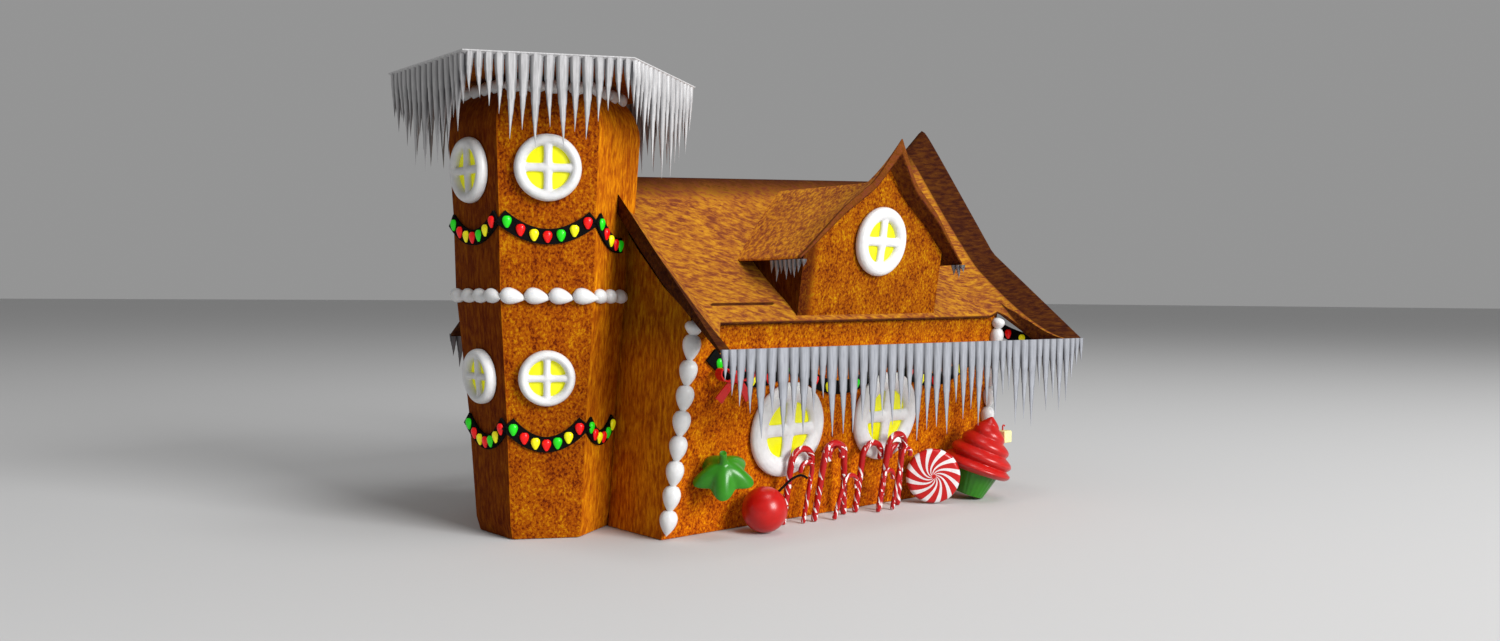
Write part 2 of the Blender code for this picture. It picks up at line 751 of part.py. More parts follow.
def garland(name, swags, out):
    """A lace with bulbs along hanging swags, each a function of 0 to 1."""
    points = []
    radii = []
    for place_at, bulbs in swags:
        for i in range(bulbs):
            for share, radius in ((0.0, LACE_R), (0.5, BULB_R)):
                points.append(place_at((i + share) / bulbs))
                radii.append(radius)
    points.append(swags[-1][0](1.0))
    radii.append(LACE_R)
    return sweep(name, points, radii, 4, LACE, out)


def tower_swag(degrees, start, end, sag):
    """A swag on one tower face from (s, z) to (s, z), s along the face."""
    def place_at(share):
        s = start[0] + (end[0] - start[0]) * share
        z = start[1] + (end[1] - start[1]) * share - sag * 4 * share * (1 - share)
        middle, tangent, up, normal = face_frame(degrees, z)
        return middle + tangent * s + normal * (BULB_R + GAP)
    return place_at


def build_tower_garlands():
    """Two garlands round the free faces of the tower."""
    for name, z, sag, half, end_s, end_z, end_sag, end_bulbs in (
            ("garland_tower_high", 0.1845, 0.0110, 0.0262, 0.0060, 0.1705, 0.005, 5),
            ("garland_tower_low", 0.0675, 0.0125, 0.0218, 0.0125, 0.0660, 0.010, 6)):
        swags = [(tower_swag(300, (end_s, end_z), (-half, z), end_sag), end_bulbs)]
        for degrees in (240, 180, 120):
            swags.append((tower_swag(degrees, (half, z), (-half, z), sag), 7))
        swags.append((tower_swag(60, (half, z), (-end_s, end_z), end_sag), end_bulbs))
        lace = garland(name, swags, radial)
        combine(lace, tower_block("core", GAP, -0.01), "DIFFERENCE")
        combine(lace, wall_block("wedge", GAP, -0.01, WALL_TOP), "DIFFERENCE")
        combine(lace, roof_slab("roof space", GAP, GAP), "DIFFERENCE")
        keep_largest(lace)


def wall_swag(side, start, end, sag):
    """A swag on a long wall between two (x, z) points."""
    def place_at(share):
        height = start[1] + (end[1] - start[1]) * share - sag * 4 * share * (1 - share)
        x = start[0] + (end[0] - start[0]) * share
        return Vector((x, side * (wall_y(height) + BULB_R + 2 * GAP), height))
    return place_at


def build_wall_garlands():
    """Three swags on each long wall, low between the windows, and three round the right gable."""
    for name, side in (("garland_front", -1), ("garland_back", 1)):
        swags = [(wall_swag(side, (-0.126, 0.1070), (-0.0587, 0.1010), 0.013), 5),
                 (wall_swag(side, (-0.0587, 0.1010), (0.0307, 0.1030), 0.019), 7),
                 (wall_swag(side, (0.0307, 0.1030), (0.125, 0.1050), 0.020), 7)]
        garland(name, swags, (0, side, 0))

    def corner_place(side, outward):
        def place_at(share):
            share = share if outward else 1 - share
            y = side * (GABLE_START_Y + (GABLE_TIP_Y - GABLE_START_Y) * share)
            z = GABLE_Z + (GABLE_TIP_Z - GABLE_Z) * share - GABLE_SAG * 4 * share * (1 - share)
            x = WALL_HALF_X - END_LEAN * GABLE_Z + BULB_R + 2 * GAP
            return Vector((x + (GABLE_TIP_X - x) * min(1.0, 7.0 * share), y, z))
        return place_at

    def gable_place(share):
        y = -GABLE_START_Y + 2 * GABLE_START_Y * share
        z = GABLE_Z - 0.022 * 4 * share * (1 - share)
        return Vector((WALL_HALF_X - END_LEAN * z + BULB_R + 2 * GAP, y, z))

    swags = [(corner_place(-1, False), 5), (gable_place, 10), (corner_place(1, True), 5)]
    garland("garland_gable", swags, (1, 0, 0.2))


def build_bows():
    """A red bow on the left end of each wall garland."""
    outline = ((0.0, 0.0022), (-0.0050, 0.0066), (-0.0115, 0.0100), (-0.0140, 0.0010), (-0.0110, -0.0028),
               (-0.0042, -0.0020), (-0.0170, -0.0105), (-0.0118, -0.0125), (-0.0010, -0.0034),
               (0.0010, -0.0034), (0.0062, -0.0120), (0.0112, -0.0085), (0.0042, -0.0020),
               (0.0110, -0.0028), (0.0140, 0.0010), (0.0115, 0.0100), (0.0050, 0.0066))
    depth = 0.0032
    for name, side in (("bow_front", -1), ("bow_back", 1)):
        low = Vector((-0.1115, 0, 0.0935))
        lift = 2 * BULB_R + 3 * GAP
        rings = []
        for level in (lift, lift + depth):
            ring = []
            for x, z in outline:
                height = low.z + z
                ring.append(Vector((low.x + x, side * (wall_y(height) + level), height)))
            rings.append(ring)
        tube_body(name, rings, RED, smooth=False)


# ---------------------------------------------------------------- sweets

def cane(name, foot_x, height, hook, lean, layer, radius):
    """A candy cane standing against the wall; hook is its signed width."""
    bend = abs(hook) / 2
    shaft = height - bend - radius
    points = []
    for share in (0.0, 1.0):
        points.append((0.0, shaft * share))
    for i in range(1, 5):
        angle = math.pi * i / 4
        points.append((math.copysign(bend * (1 - math.cos(angle)), hook), shaft + bend * math.sin(angle)))
    points.append((hook, shaft - 0.30 * bend))
    places = []
    for x, z in points:
        turned_x = foot_x + x * math.cos(lean) + z * math.sin(lean)
        turned_z = z * math.cos(lean) - x * math.sin(lean)
        places.append(Vector((turned_x, -(wall_y(turned_z) + layer), turned_z)))
    stick = sweep(name, places, [radius] * len(places), CANE_SIDES, CANE, (0, -1, 0))
    lowest = min(v.co.z for v in stick.data.vertices)
    stick.data.transform(Matrix.Translation((0, 0, -lowest)))


def build_canes():
    """Candy canes leaning on the front wall in two layers."""
    rows = (("cane_a", -0.0620, 0.0490, 0.0175, 2.0, 0.0112, CANE_R),
            ("cane_b", -0.0490, 0.0400, -0.0100, 4.0, 0.0160, THIN_CANE_R),
            ("cane_c", -0.0395, 0.0515, 0.0150, 4.0, 0.0160, CANE_R),
            ("cane_d", -0.0260, 0.0305, 0.0120, 12.0, 0.0206, THIN_CANE_R),
            ("cane_e", -0.0078, 0.0505, -0.0140, -9.0, 0.0112, CANE_R),
            ("cane_f", 0.0031, 0.0475, 0.0175, 1.0, 0.0112, CANE_R),
            ("cane_g", 0.0150, 0.0290, 0.0095, 3.0, 0.0206, THIN_CANE_R),
            ("cane_h", 0.0209, 0.0525, 0.0160, 2.0, 0.0160, CANE_R),
            ("cane_i", 0.0290, 0.0425, 0.0080, 5.0, 0.0206, THIN_CANE_R),
            ("cane_j", 0.0448, 0.0445, -0.0120, -4.0, 0.0112, CANE_R))
    for name, foot_x, height, hook, lean, layer, radius in rows:
        cane(name, foot_x, height, hook, math.radians(lean), layer, radius)


def dome_rings(place, outline, segments):
    """Rings of points of a turned profile of (radius, height)."""
    rings = []
    for radius, height in outline:
        ring = []
        for j in range(segments):
            angle = 2.0 * math.pi * j / segments
            ring.append(place @ Vector((radius * math.cos(angle), radius * math.sin(angle), height)))
        rings.append(ring)
    return rings


def build_ball():
    """A red sugar ball on the table, with a liquorice stalk that loops over."""
    place = Matrix.Translation((*BALL_AT, BALL_R))
    outline = []
    for i in range(1, 8):
        angle = math.pi * i / 8 - 0.5 * math.pi
        outline.append((BALL_R * math.cos(angle), BALL_R * math.sin(angle)))
    ends = [Vector((*BALL_AT, 0.0)), Vector((*BALL_AT, 2 * BALL_R))]
    ball = tube_body("cherry_ball", dome_rings(place, outline, 12), RED, tips=ends)
    base = place.translation
    route = ((0.0070, -0.0035, 0.0095), (0.0120, -0.0050, 0.0140), (0.0180, -0.0060, 0.0178),
             (0.0245, -0.0060, 0.0188), (0.0300, -0.0055, 0.0165))
    points = [base + Vector(p) for p in route]
    stalk = sweep("stalk", points, [0.0007] * len(points), 4, None, (0, -1, 0))
    combine(ball, stalk, "UNION")
    keep_largest(ball)


def build_mint():
    """A peppermint disc on edge, its swirled face turned to the left front."""
    tilt = Matrix.Rotation(MINT_FACING, 4, "Z") @ Matrix.Rotation(math.radians(90.0), 4, "Y")
    place = Matrix.Translation((*MINT_AT, MINT_R)) @ tilt
    half = MINT_THICK / 2
    outline = ((0.70 * MINT_R, -half), (MINT_R, -0.35 * half), (MINT_R, 0.35 * half), (0.70 * MINT_R, half))
    ends = [place @ Vector((0, 0, -1.15 * half)), place @ Vector((0, 0, 1.15 * half))]
    tube_body("peppermint", dome_rings(place, outline, 16), CANE, tips=ends)


def cupcake_place():
    """The cupcake's frame: tipped on to the edge of its base."""
    lean = Matrix.Rotation(CUPCAKE_TILT, 4, Vector((0.6643, 0.7475, 0.0)))
    corner = min((lean @ Vector((CUP_LOW_R * math.cos(t * math.pi / 12), CUP_LOW_R * math.sin(t * math.pi / 12),
                                 0))).z for t in range(24))
    return Matrix.Translation((*CUPCAKE_AT, -corner)) @ lean


def build_cupcake():
    """A green cup with a tall red swirl, and a marshmallow cube behind it."""
    place = cupcake_place()
    cup = ((CUP_LOW_R, 0.0), (CUP_HIGH_R, CUP_HEIGHT - GAP))
    tube_body("cupcake_cup", dome_rings(place, cup, 16), GREEN)
    levels, segments = 15, 12
    rings = []
    for i in range(levels):
        share = i / levels
        body = SWIRL_R * (1.0 - share) ** 0.62 * min(1.0, 0.80 + 2.2 * share)
        ring = []
        for j in range(segments):
            angle = 2.0 * math.pi * j / segments
            fold = 0.07 * math.cos(2.0 * math.pi * SWIRL_TURNS * share + angle)
            radius = body * (1.0 + fold)
            height = CUP_HEIGHT + SWIRL_HEIGHT * share
            ring.append(place @ Vector((radius * math.cos(angle), radius * math.sin(angle), height)))
        rings.append(ring)
    ends = [place @ Vector((0, 0, CUP_HEIGHT)), place @ Vector((0.001, 0, CUP_HEIGHT + SWIRL_HEIGHT))]
    tube_body("cupcake_swirl", rings, RED, tips=ends)
    build_marshmallow(place)


def build_marshmallow(place):
    """A pale cube with a short hooked stalk, pressed into the swirl's far side."""
    half = CUBE_SIZE / 2
    away = Vector((0.97, -0.25, 0)).normalized()
    middle = place @ Vector((0, 0, CUP_HEIGHT + 0.62 * SWIRL_HEIGHT)) + away * (SWIRL_R * 0.50 + half)
    verts = []
    for z in (-half, half):
        for x, y in ((-half, -half), (half, -half), (half, half), (-half, half)):
            verts.append(middle + Vector((x, y, z)))
    faces = [(3, 2, 1, 0), (4, 5, 6, 7)]
    faces += [(i, (i + 1) % 4, (i + 1) % 4 + 4, i + 4) for i in range(4)]
    cube = make_object("marshmallow", verts, faces, CREAM)
    top = middle + Vector((-0.001, 0, half))
    points = [top + Vector(p) for p in ((0, 0, -0.001), (0, 0, 0.0036), (0.0022, 0, 0.0030))]
    stalk = sweep("stalk", points, [0.0006] * 3, 4, None, (0, -1, 0))
    combine(cube, stalk, "UNION")
    swirl = bpy.data.objects["cupcake_swirl"]
    combine(cube, swirl, "DIFFERENCE", keep_other=True)
    keep_largest(cube)
    cube.data.transform(Matrix.Translation(away * GAP))


def build_leaf():
    """A five-pointed green leaf crown with a thick stem, iced to the wall."""
    x, z = LEAF_AT
    axis = Vector((-0.6643, -0.7475, 1.0)).normalized()
    right = Vector((0.7475, -0.6643, 0))
    back = axis.cross(right).normalized()
    place = Matrix((right, back, axis)).transposed().to_4x4()
    place.translation = Vector((x, -(wall_y(z) + 0.0150), z))
    rings = []
    for share, height in ((1.0, -0.0065), (0.99, -0.0050), (0.62, 0.0012), (0.30, 0.0040), (0.13, 0.0050),
                          (0.12, 0.0105)):
        ring = []
        for j in range(20):
            angle = 2.0 * math.pi * j / 20 - 0.5 * math.pi
            point = 0.5 + 0.5 * math.cos(5 * (angle + 0.5 * math.pi))
            radius = LEAF_R * share * (1.0 - 0.42 * min(1.0, share * 1.2) * (1.0 - point ** 1.3))
            ring.append(place @ Vector((radius * math.cos(angle), radius * math.sin(angle), height)))
        rings.append(ring)
    leaf = tube_body("holly_leaf", rings, GREEN)
    combine(leaf, wall_block("wedge", GAP, -0.01, WALL_TOP), "DIFFERENCE")
    keep_largest(leaf)


build_tower()
build_house()
build_dormer()
build_eave_icicles()
build_rim_icicles()
build_windows()
build_corner_piping()
build_tower_piping()
build_tower_garlands()
build_wall_garlands()
build_bows()
build_canes()
build_ball()
build_mint()
build_cupcake()
build_leaf()
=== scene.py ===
import math

import bmesh
import bpy
from mathutils import Matrix, Vector, noise


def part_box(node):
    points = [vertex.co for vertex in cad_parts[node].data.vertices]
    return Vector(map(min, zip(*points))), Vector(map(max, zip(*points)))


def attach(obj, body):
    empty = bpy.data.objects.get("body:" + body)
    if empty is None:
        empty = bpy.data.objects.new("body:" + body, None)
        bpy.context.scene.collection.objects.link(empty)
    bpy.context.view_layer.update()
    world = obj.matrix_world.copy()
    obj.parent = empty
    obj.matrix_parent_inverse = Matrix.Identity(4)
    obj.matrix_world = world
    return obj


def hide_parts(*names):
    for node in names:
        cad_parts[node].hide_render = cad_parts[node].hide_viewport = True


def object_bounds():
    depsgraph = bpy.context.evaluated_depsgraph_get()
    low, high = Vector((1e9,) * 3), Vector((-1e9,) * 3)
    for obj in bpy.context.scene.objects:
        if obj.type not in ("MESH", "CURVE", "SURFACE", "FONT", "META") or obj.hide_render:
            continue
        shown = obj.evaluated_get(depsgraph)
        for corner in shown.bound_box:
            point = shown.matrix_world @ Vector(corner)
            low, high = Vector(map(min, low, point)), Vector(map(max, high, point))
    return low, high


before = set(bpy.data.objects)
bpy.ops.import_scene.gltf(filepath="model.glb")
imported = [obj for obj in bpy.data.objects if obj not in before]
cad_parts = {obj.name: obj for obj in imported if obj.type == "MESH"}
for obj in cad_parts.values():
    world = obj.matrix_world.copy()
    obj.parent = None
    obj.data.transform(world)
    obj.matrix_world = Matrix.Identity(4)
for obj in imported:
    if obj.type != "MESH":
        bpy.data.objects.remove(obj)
cad_box = [list(corner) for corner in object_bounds()]

# ---------------------------------------------------------------- table, light and camera
# The house stands on a pale table top in a plain studio. One broad lamp from the right front
# lights the long wall and leaves the turret's left side in shade.

table_mesh = bpy.data.meshes.new("table_top")
table_mesh.from_pydata([(-30, -30, -0.0004), (30, -30, -0.0004), (30, 30, -0.0004), (-30, 30, -0.0004)],
                       [], [(0, 1, 2, 3)])
table = bpy.data.objects.new("table_top", table_mesh)
bpy.context.scene.collection.objects.link(table)
table_paint = bpy.data.materials.new("pale table paint")
table_paint.use_nodes = True
table_shader = table_paint.node_tree.nodes["Principled BSDF"]
table_shader.inputs["Base Color"].default_value = (0.62, 0.62, 0.62, 1)
table_shader.inputs["Roughness"].default_value = 0.9
table_shader.inputs["Specular IOR Level"].default_value = 0.1
table_mesh.materials.append(table_paint)

studio = bpy.context.scene.world or bpy.data.worlds.new("studio")
bpy.context.scene.world = studio
studio.use_nodes = True
studio.node_tree.nodes["Background"].inputs["Color"].default_value = (0.62, 0.62, 0.62, 1)
studio.node_tree.nodes["Background"].inputs["Strength"].default_value = 0.48

house_low, house_high = (Vector(corner) for corner in cad_box)
house_middle = (house_low + house_high) / 2


def studio_lamp(name, towards, distance, size, power):
    """A square area lamp that shines on the middle of the house."""
    lamp = bpy.data.lights.new(name, "AREA")
    lamp.size = size
    lamp.energy = power
    holder = bpy.data.objects.new(name, lamp)
    holder.location = house_middle + Vector(towards).normalized() * distance
    holder.rotation_euler = (house_middle - holder.location).to_track_quat("-Z", "Y").to_euler()
    bpy.context.scene.collection.objects.link(holder)


studio_lamp("key_lamp", (0.12, -1.0, 0.38), 3.0, 1.3, 110.0)
studio_lamp("top_lamp", (0.10, -0.60, 1.4), 3.0, 1.2, 22.0)

lens_mm = 27.53
eye = Vector((-0.5466, -0.6006, 0.1400))
heading = Vector((0.6643, 0.7475, 0.0))
tip_up = math.radians(-1.15)
roll = math.radians(0.39)
forward = math.cos(tip_up) * heading + math.sin(tip_up) * Vector((0, 0, 1))
level_right = Vector((heading.y, -heading.x, 0))
upward = math.cos(tip_up) * Vector((0, 0, 1)) - math.sin(tip_up) * heading
camera_x = math.cos(roll) * level_right + math.sin(roll) * upward
camera_y = math.cos(roll) * upward - math.sin(roll) * level_right
camera_data = bpy.data.cameras.new("studio_camera")
camera_data.sensor_width = 36.0
camera_data.lens = lens_mm
camera_data.clip_start = 0.01
camera_data.clip_end = 80.0
studio_camera = bpy.data.objects.new("studio_camera", camera_data)
stand = Matrix((camera_x, camera_y, -forward)).transposed().to_4x4()
stand.translation = eye
studio_camera.matrix_world = stand
bpy.context.scene.collection.objects.link(studio_camera)
bpy.context.scene.camera = studio_camera
bpy.context.scene.view_settings.view_transform = "Standard"

# ---------------------------------------------------------------- gingerbread walls
# Baked gingerbread sheets, iced together. The crumb is orange brown with yellow flecks and darker,
# better baked patches, and its grain runs up the sheets. The two long walls lean a little outward.


def new_finish(name, roughness=0.5, specular=0.5):
    """A node material: its name, its nodes, a function that links two sockets, and its shader."""
    finish = bpy.data.materials.new(name)
    finish.use_nodes = True
    tree = finish.node_tree
    shader = tree.nodes["Principled BSDF"]
    shader.inputs["Roughness"].default_value = roughness
    shader.inputs["Specular IOR Level"].default_value = specular
    return finish, tree.nodes, tree.links.new, shader


def grain(nodes, link, coordinates, scale, detail, roughness=0.55, warp=0.0):
    """Noise at a scale in steps per metre."""
    field = nodes.new("ShaderNodeTexNoise")
    field.inputs["Scale"].default_value = scale
    field.inputs["Detail"].default_value = detail
    field.inputs["Roughness"].default_value = roughness
    field.inputs["Distortion"].default_value = warp
    link(coordinates, field.inputs["Vector"])
    return field.outputs["Fac"]


def stretched(nodes, link, coordinates, scale, turn=(0, 0, 0)):
    """Coordinates turned, then squeezed by a scale on each axis."""
    mapping = nodes.new("ShaderNodeMapping")
    mapping.vector_type = "TEXTURE"
    mapping.inputs["Rotation"].default_value = turn
    mapping.inputs["Scale"].default_value = scale
    link(coordinates, mapping.inputs["Vector"])
    return mapping.outputs["Vector"]


def ramp(nodes, link, value, stops):
    """Colours along a value, as (position, colour) stops."""
    band = nodes.new("ShaderNodeValToRGB")
    band.color_ramp.interpolation = "LINEAR"
    points = band.color_ramp.elements
    while len(points) < len(stops):
        points.new(0.5)
    for point, (position, colour) in zip(points, stops):
        point.position = position
        point.color = (*colour, 1.0)
    link(value, band.inputs["Fac"])
    return band.outputs["Color"]


def blend(nodes, link, share, first, second, mode="MIX"):
    """Two colours mixed by a share, which is a number or a socket."""
    mix = nodes.new("ShaderNodeMix")
    mix.data_type = "RGBA"
    mix.blend_type = mode
    mix.clamp_factor = True
    if isinstance(share, (int, float)):
        mix.inputs["Factor"].default_value = share
    else:
        link(share, mix.inputs["Factor"])
    for socket, colour in ((mix.inputs[6], first), (mix.inputs[7], second)):
        if isinstance(colour, tuple):
            socket.default_value = (*colour, 1.0)
        else:
            link(colour, socket)
    return mix.outputs[2]


def sum_of(nodes, link, parts):
    """A weighted sum of value sockets."""
    total = None
    for socket, weight in parts:
        step = nodes.new("ShaderNodeMath")
        step.operation = "MULTIPLY_ADD"
        link(socket, step.inputs[0])
        step.inputs[1].default_value = weight
        if total is None:
            step.inputs[2].default_value = 0.0
        else:
            link(total, step.inputs[2])
        total = step.outputs[0]
    return total


def relief(nodes, link, shader, height, distance, strength=1.0):
    """Fine relief on the shader's normal."""
    bump = nodes.new("ShaderNodeBump")
    bump.inputs["Distance"].default_value = distance
    bump.inputs["Strength"].default_value = strength
    link(height, bump.inputs["Height"])
    link(bump.outputs["Normal"], shader.inputs["Normal"])


def dough(nodes, link, stops, stretch, turn, fine, patches, patch_share):
    """Baked crumb: its colour and its height. Fine drawn-out grains lie over softer patches."""
    place = nodes.new("ShaderNodeTexCoord").outputs["Object"]
    crumb = grain(nodes, link, stretched(nodes, link, place, stretch, turn), fine, 4.0, 0.66, 0.3)
    patch = grain(nodes, link, stretched(nodes, link, place, (1, 1, 1.5)), patches, 3.0, 0.6, 0.6)
    value = sum_of(nodes, link, ((crumb, 1.0 - patch_share), (patch, patch_share)))
    return ramp(nodes, link, value, stops), crumb


def darken_painted_shade(nodes, link, shader, plain, crumb, shade):
    """Darkens the crumb where the mesh marks painted shade, with a ragged edge."""
    painted_shade = nodes.new("ShaderNodeAttribute")
    painted_shade.attribute_name = "painted_shade"
    ragged = sum_of(nodes, link, ((painted_shade.outputs["Fac"], 1.25), (crumb, 0.9)))
    share = ramp(nodes, link, ragged, ((0.55, (0, 0, 0)), (1.0, (1, 1, 1))))
    dark = blend(nodes, link, 1.0, plain, shade, "MULTIPLY")
    link(blend(nodes, link, share, plain, dark), shader.inputs["Base Color"])


def upright_share(nodes, link, from_x, to_x):
    """How far a sheet faces the end of the house, going by its level direction."""
    split = nodes.new("ShaderNodeSeparateXYZ")
    link(nodes.new("ShaderNodeTexCoord").outputs["Normal"], split.inputs[0])
    shifted = nodes.new("ShaderNodeMath")
    shifted.inputs[1].default_value = 0.15
    link(split.outputs["X"], shifted.inputs[0])
    size = nodes.new("ShaderNodeMath")
    size.operation = "ABSOLUTE"
    link(shifted.outputs[0], size.inputs[0])
    return ramp(nodes, link, size.outputs[0], ((from_x, (0, 0, 0)), (to_x, (1, 1, 1))))


def wall_finish(name, speckle_stops, streak_and_painted_light_stops, shade, upper=(1.0, 1.0, 1.0)):
    """Wall sheets: speckled crumb on the long sides, upright streaks in lighter stops (painted light) on the sheets
    that face the ends, painted shade high up by the upper colour and where the mesh marks it.
    """
    finish, nodes, link, shader = new_finish(name, 0.85, 0.06)
    speckle, crumb = dough(nodes, link, speckle_stops, (1, 1, 1.3), (0, 0, 0), 700.0, 95.0, 0.30)
    streak, drawn = dough(nodes, link, streak_and_painted_light_stops, (1, 1, 3.6), (0, 0, 0), 460.0, 75.0, 0.26)
    plain = blend(nodes, link, upright_share(nodes, link, 0.45, 0.55), speckle, streak)
    split = nodes.new("ShaderNodeSeparateXYZ")
    link(nodes.new("ShaderNodeTexCoord").outputs["Object"], split.inputs[0])
    # Painted shade: the crumb is darkened by the upper colour towards the top of the walls.
    painted_shade_high_up = ramp(nodes, link, sum_of(nodes, link, ((split.outputs["Z"], 5.0),)), ((0.50, (0, 0, 0)), (0.62, (1, 1, 1))))
    plain = blend(nodes, link, painted_shade_high_up, plain, blend(nodes, link, 1.0, plain, upper, "MULTIPLY"))
    darken_painted_shade(nodes, link, shader, plain, crumb, shade)
    relief(nodes, link, shader, crumb, 0.0006, 0.55)
    return finish


speckle_stops = ((0.39, (0.150, 0.016, 0.0006)), (0.46, (0.360, 0.062, 0.0007)), (0.50, (0.465, 0.098, 0.0008)),
                 (0.56, (0.570, 0.146, 0.0010)), (0.63, (0.800, 0.320, 0.0020)))
# The streak stops are lighter than the speckle: the streak pattern, and painted light on the sheets that face the ends.
streak_and_painted_light_stops = ((0.36, (0.260, 0.044, 0.0010)), (0.45, (0.390, 0.090, 0.0012)), (0.51, (0.500, 0.138, 0.0014)),
                (0.58, (0.610, 0.200, 0.0020)), (0.68, (0.760, 0.310, 0.0040)))
# The house walls take painted shade high up, multiplied by (0.62, 0.74, 0.60).
house_dough = wall_finish("gingerbread, house walls", speckle_stops, streak_and_painted_light_stops, (0.3, 0.22, 0.3), (0.62, 0.74, 0.60))
turret_stops = [(at, tuple(0.66 * c for c in colour)) for at, colour in speckle_stops]
turret_dough = wall_finish("gingerbread, turret walls", turret_stops, streak_and_painted_light_stops, (0.36, 0.25, 0.20))
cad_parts["house_walls"].data.materials.clear()
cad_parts["house_walls"].data.materials.append(house_dough)


def paint_shade_share(piece, share_at, by_face=False):
    """Writes how much painted shade darkens each corner, or each face, of the mesh."""
    old = piece.data.attributes.get("painted_shade")
    if old:
        piece.data.attributes.remove(old)
    layer = piece.data.attributes.new("painted_shade", "FLOAT", "FACE" if by_face else "POINT")
    if by_face:
        shares = [share_at(face.center, face.normal) for face in piece.data.polygons]
    else:
        shares = [share_at(vertex.co, vertex.normal) for vertex in piece.data.vertices]
    layer.data.foreach_set("value", [min(1.0, max(0.0, share)) for share in shares])


# ---------------------------------------------------------------- turret
# A six-sided turret of gingerbread sheets that flares upward and is rounded over at the shoulder,
# with a flat six-sided roof sheet laid on top.


def put(name, verts, faces, finish, smooth=True, sharp=35.0, nodes=()):
    """A finished piece on the house that stands for its nodes."""
    mesh = bpy.data.meshes.new(name)
    mesh.from_pydata([tuple(v) for v in verts], [], faces)
    shape = bmesh.new()
    shape.from_mesh(mesh)
    bmesh.ops.recalc_face_normals(shape, faces=shape.faces)
    shape.to_mesh(mesh)
    shape.free()
    piece = bpy.data.objects.new(name, mesh)
    bpy.context.scene.collection.objects.link(piece)
    for one in (finish if isinstance(finish, (list, tuple)) else (finish,)):
        mesh.materials.append(one)
    if smooth:
        mesh.shade_smooth()
        mesh.set_sharp_from_angle(angle=math.radians(sharp))
    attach(piece, "root")
    if nodes:
        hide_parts(*nodes)
    return piece


def apply_modifiers(piece):
    """Bake a piece's modifiers into its mesh."""
    graph = bpy.context.evaluated_depsgraph_get()
    result = bpy.data.meshes.new_from_object(piece.evaluated_get(graph))
    piece.modifiers.clear()
    piece.data = result


turret_low, turret_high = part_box("tower_walls")
turret_x = -0.1786
turret_profile = ((0.0, 0.0381), (0.008, 0.0404), (0.070, 0.0449), (0.1428, 0.0526), (0.188, 0.0541),
                  (0.2352, 0.0573))
shoulder_r = 0.026


def turret_rings():
    """Height and corner radius up the turret, with a round shoulder."""
    rings = list(turret_profile)
    z0, r0 = rings[-1]
    for i in range(1, 11):
        turn = 0.05 * math.pi * i
        rings.append((z0 + (turret_high[2] - z0) * math.sin(turn), shoulder_r + (r0 - shoulder_r) * math.cos(turn)))
    return rings


def turret_radius(z):
    """Corner radius at a height."""
    rings = turret_rings()
    for (z0, r0), (z1, r1) in zip(rings, rings[1:]):
        if z <= z1:
            return r0 + (r1 - r0) * (z - z0) / (z1 - z0)
    return rings[-1][1]


def turret_face(degrees, z, lift=0.0):
    """A place on the middle of a turret face, with its tangent, up and outward directions."""
    angle = math.radians(degrees)
    out = Vector((math.cos(angle), math.sin(angle), 0))
    apothem = turret_radius(z) * math.cos(math.pi / 6)
    lean = (turret_radius(z + 0.002) - turret_radius(z - 0.002)) * math.cos(math.pi / 6) / 0.004
    up = (Vector((0, 0, 1)) + lean * out).normalized()
    tangent = Vector((-out.y, out.x, 0))
    normal = tangent.cross(up).normalized()
    return Vector((turret_x, 0, z)) + apothem * out + lift * normal, tangent, up, normal


def loft(rings, cap=True):
    """Verts and faces of a closed body through rings."""
    count = len(rings[0])
    verts = [p for ring in rings for p in ring]
    faces = []
    for i in range(len(rings) - 1):
        for j in range(count):
            k = (j + 1) % count
            faces.append((i * count + j, i * count + k, (i + 1) * count + k, (i + 1) * count + j))
    if cap:
        faces.append(tuple(reversed(range(count))))
        faces.append(tuple(range((len(rings) - 1) * count, len(rings) * count)))
    return verts, faces


def soft_hexagon(radius, z, edge=0.0016):
    """A level hexagon with slightly rounded corners."""
    ring = []
    for i in range(6):
        corner = math.radians(30 + 60 * i)
        for step in (-1, 0, 1):
            angle = corner + step * edge / radius
            reach = radius - (0.00035 if step == 0 else 0.0)
            if step:
                reach = radius * math.cos(math.pi / 6) / math.cos(math.pi / 6 - edge / radius)
            ring.append(Vector((turret_x + reach * math.cos(angle), reach * math.sin(angle), z)))
    return ring


rings = []
stops = turret_rings()
for (z0, r0), (z1, r1) in zip(stops, stops[1:]):
    steps = max(1, round((z1 - z0) / 0.012))
    rings += [soft_hexagon(r0 + (r1 - r0) * i / steps, z0 + (z1 - z0) * i / steps) for i in range(steps)]
rings.append(soft_hexagon(stops[-1][1], stops[-1][0]))
verts, faces = loft(rings)
turret = put("turret_walls", verts, faces, turret_dough, sharp=24.0, nodes=("tower_walls",))
# Painted shade: the turret faces that look to the left are darkened.
paint_shade_share(turret, lambda point, normal: 1.0 if normal.x < -0.7 else 0.0, by_face=True)

# ---------------------------------------------------------------- main roof
# One thick sheet of gingerbread, baked over a form so that it sags between a high ridge and wide
# eaves and its gable ends sweep up to a point. Its crumb is drawn along the ridge, with purple-brown specks.

roof_low, roof_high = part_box("main_roof")
roof_left, roof_right = roof_low[0], roof_high[0]
eave_y = roof_high[1]
eave_z = 0.1131
roof_peak = roof_high[2]


def ridge_z(x):
    """The ridge climbs a little to the right."""
    return 0.2235 + 0.0585 * x


def lip_z(distance):
    """Height of the swept-up right gable edge."""
    if distance < 0.0693:
        return roof_peak + (0.1750 - roof_peak) * distance / 0.0693
    return 0.1750 + (eave_z - 0.1750) * (distance - 0.0693) / (eave_y - 0.0693)


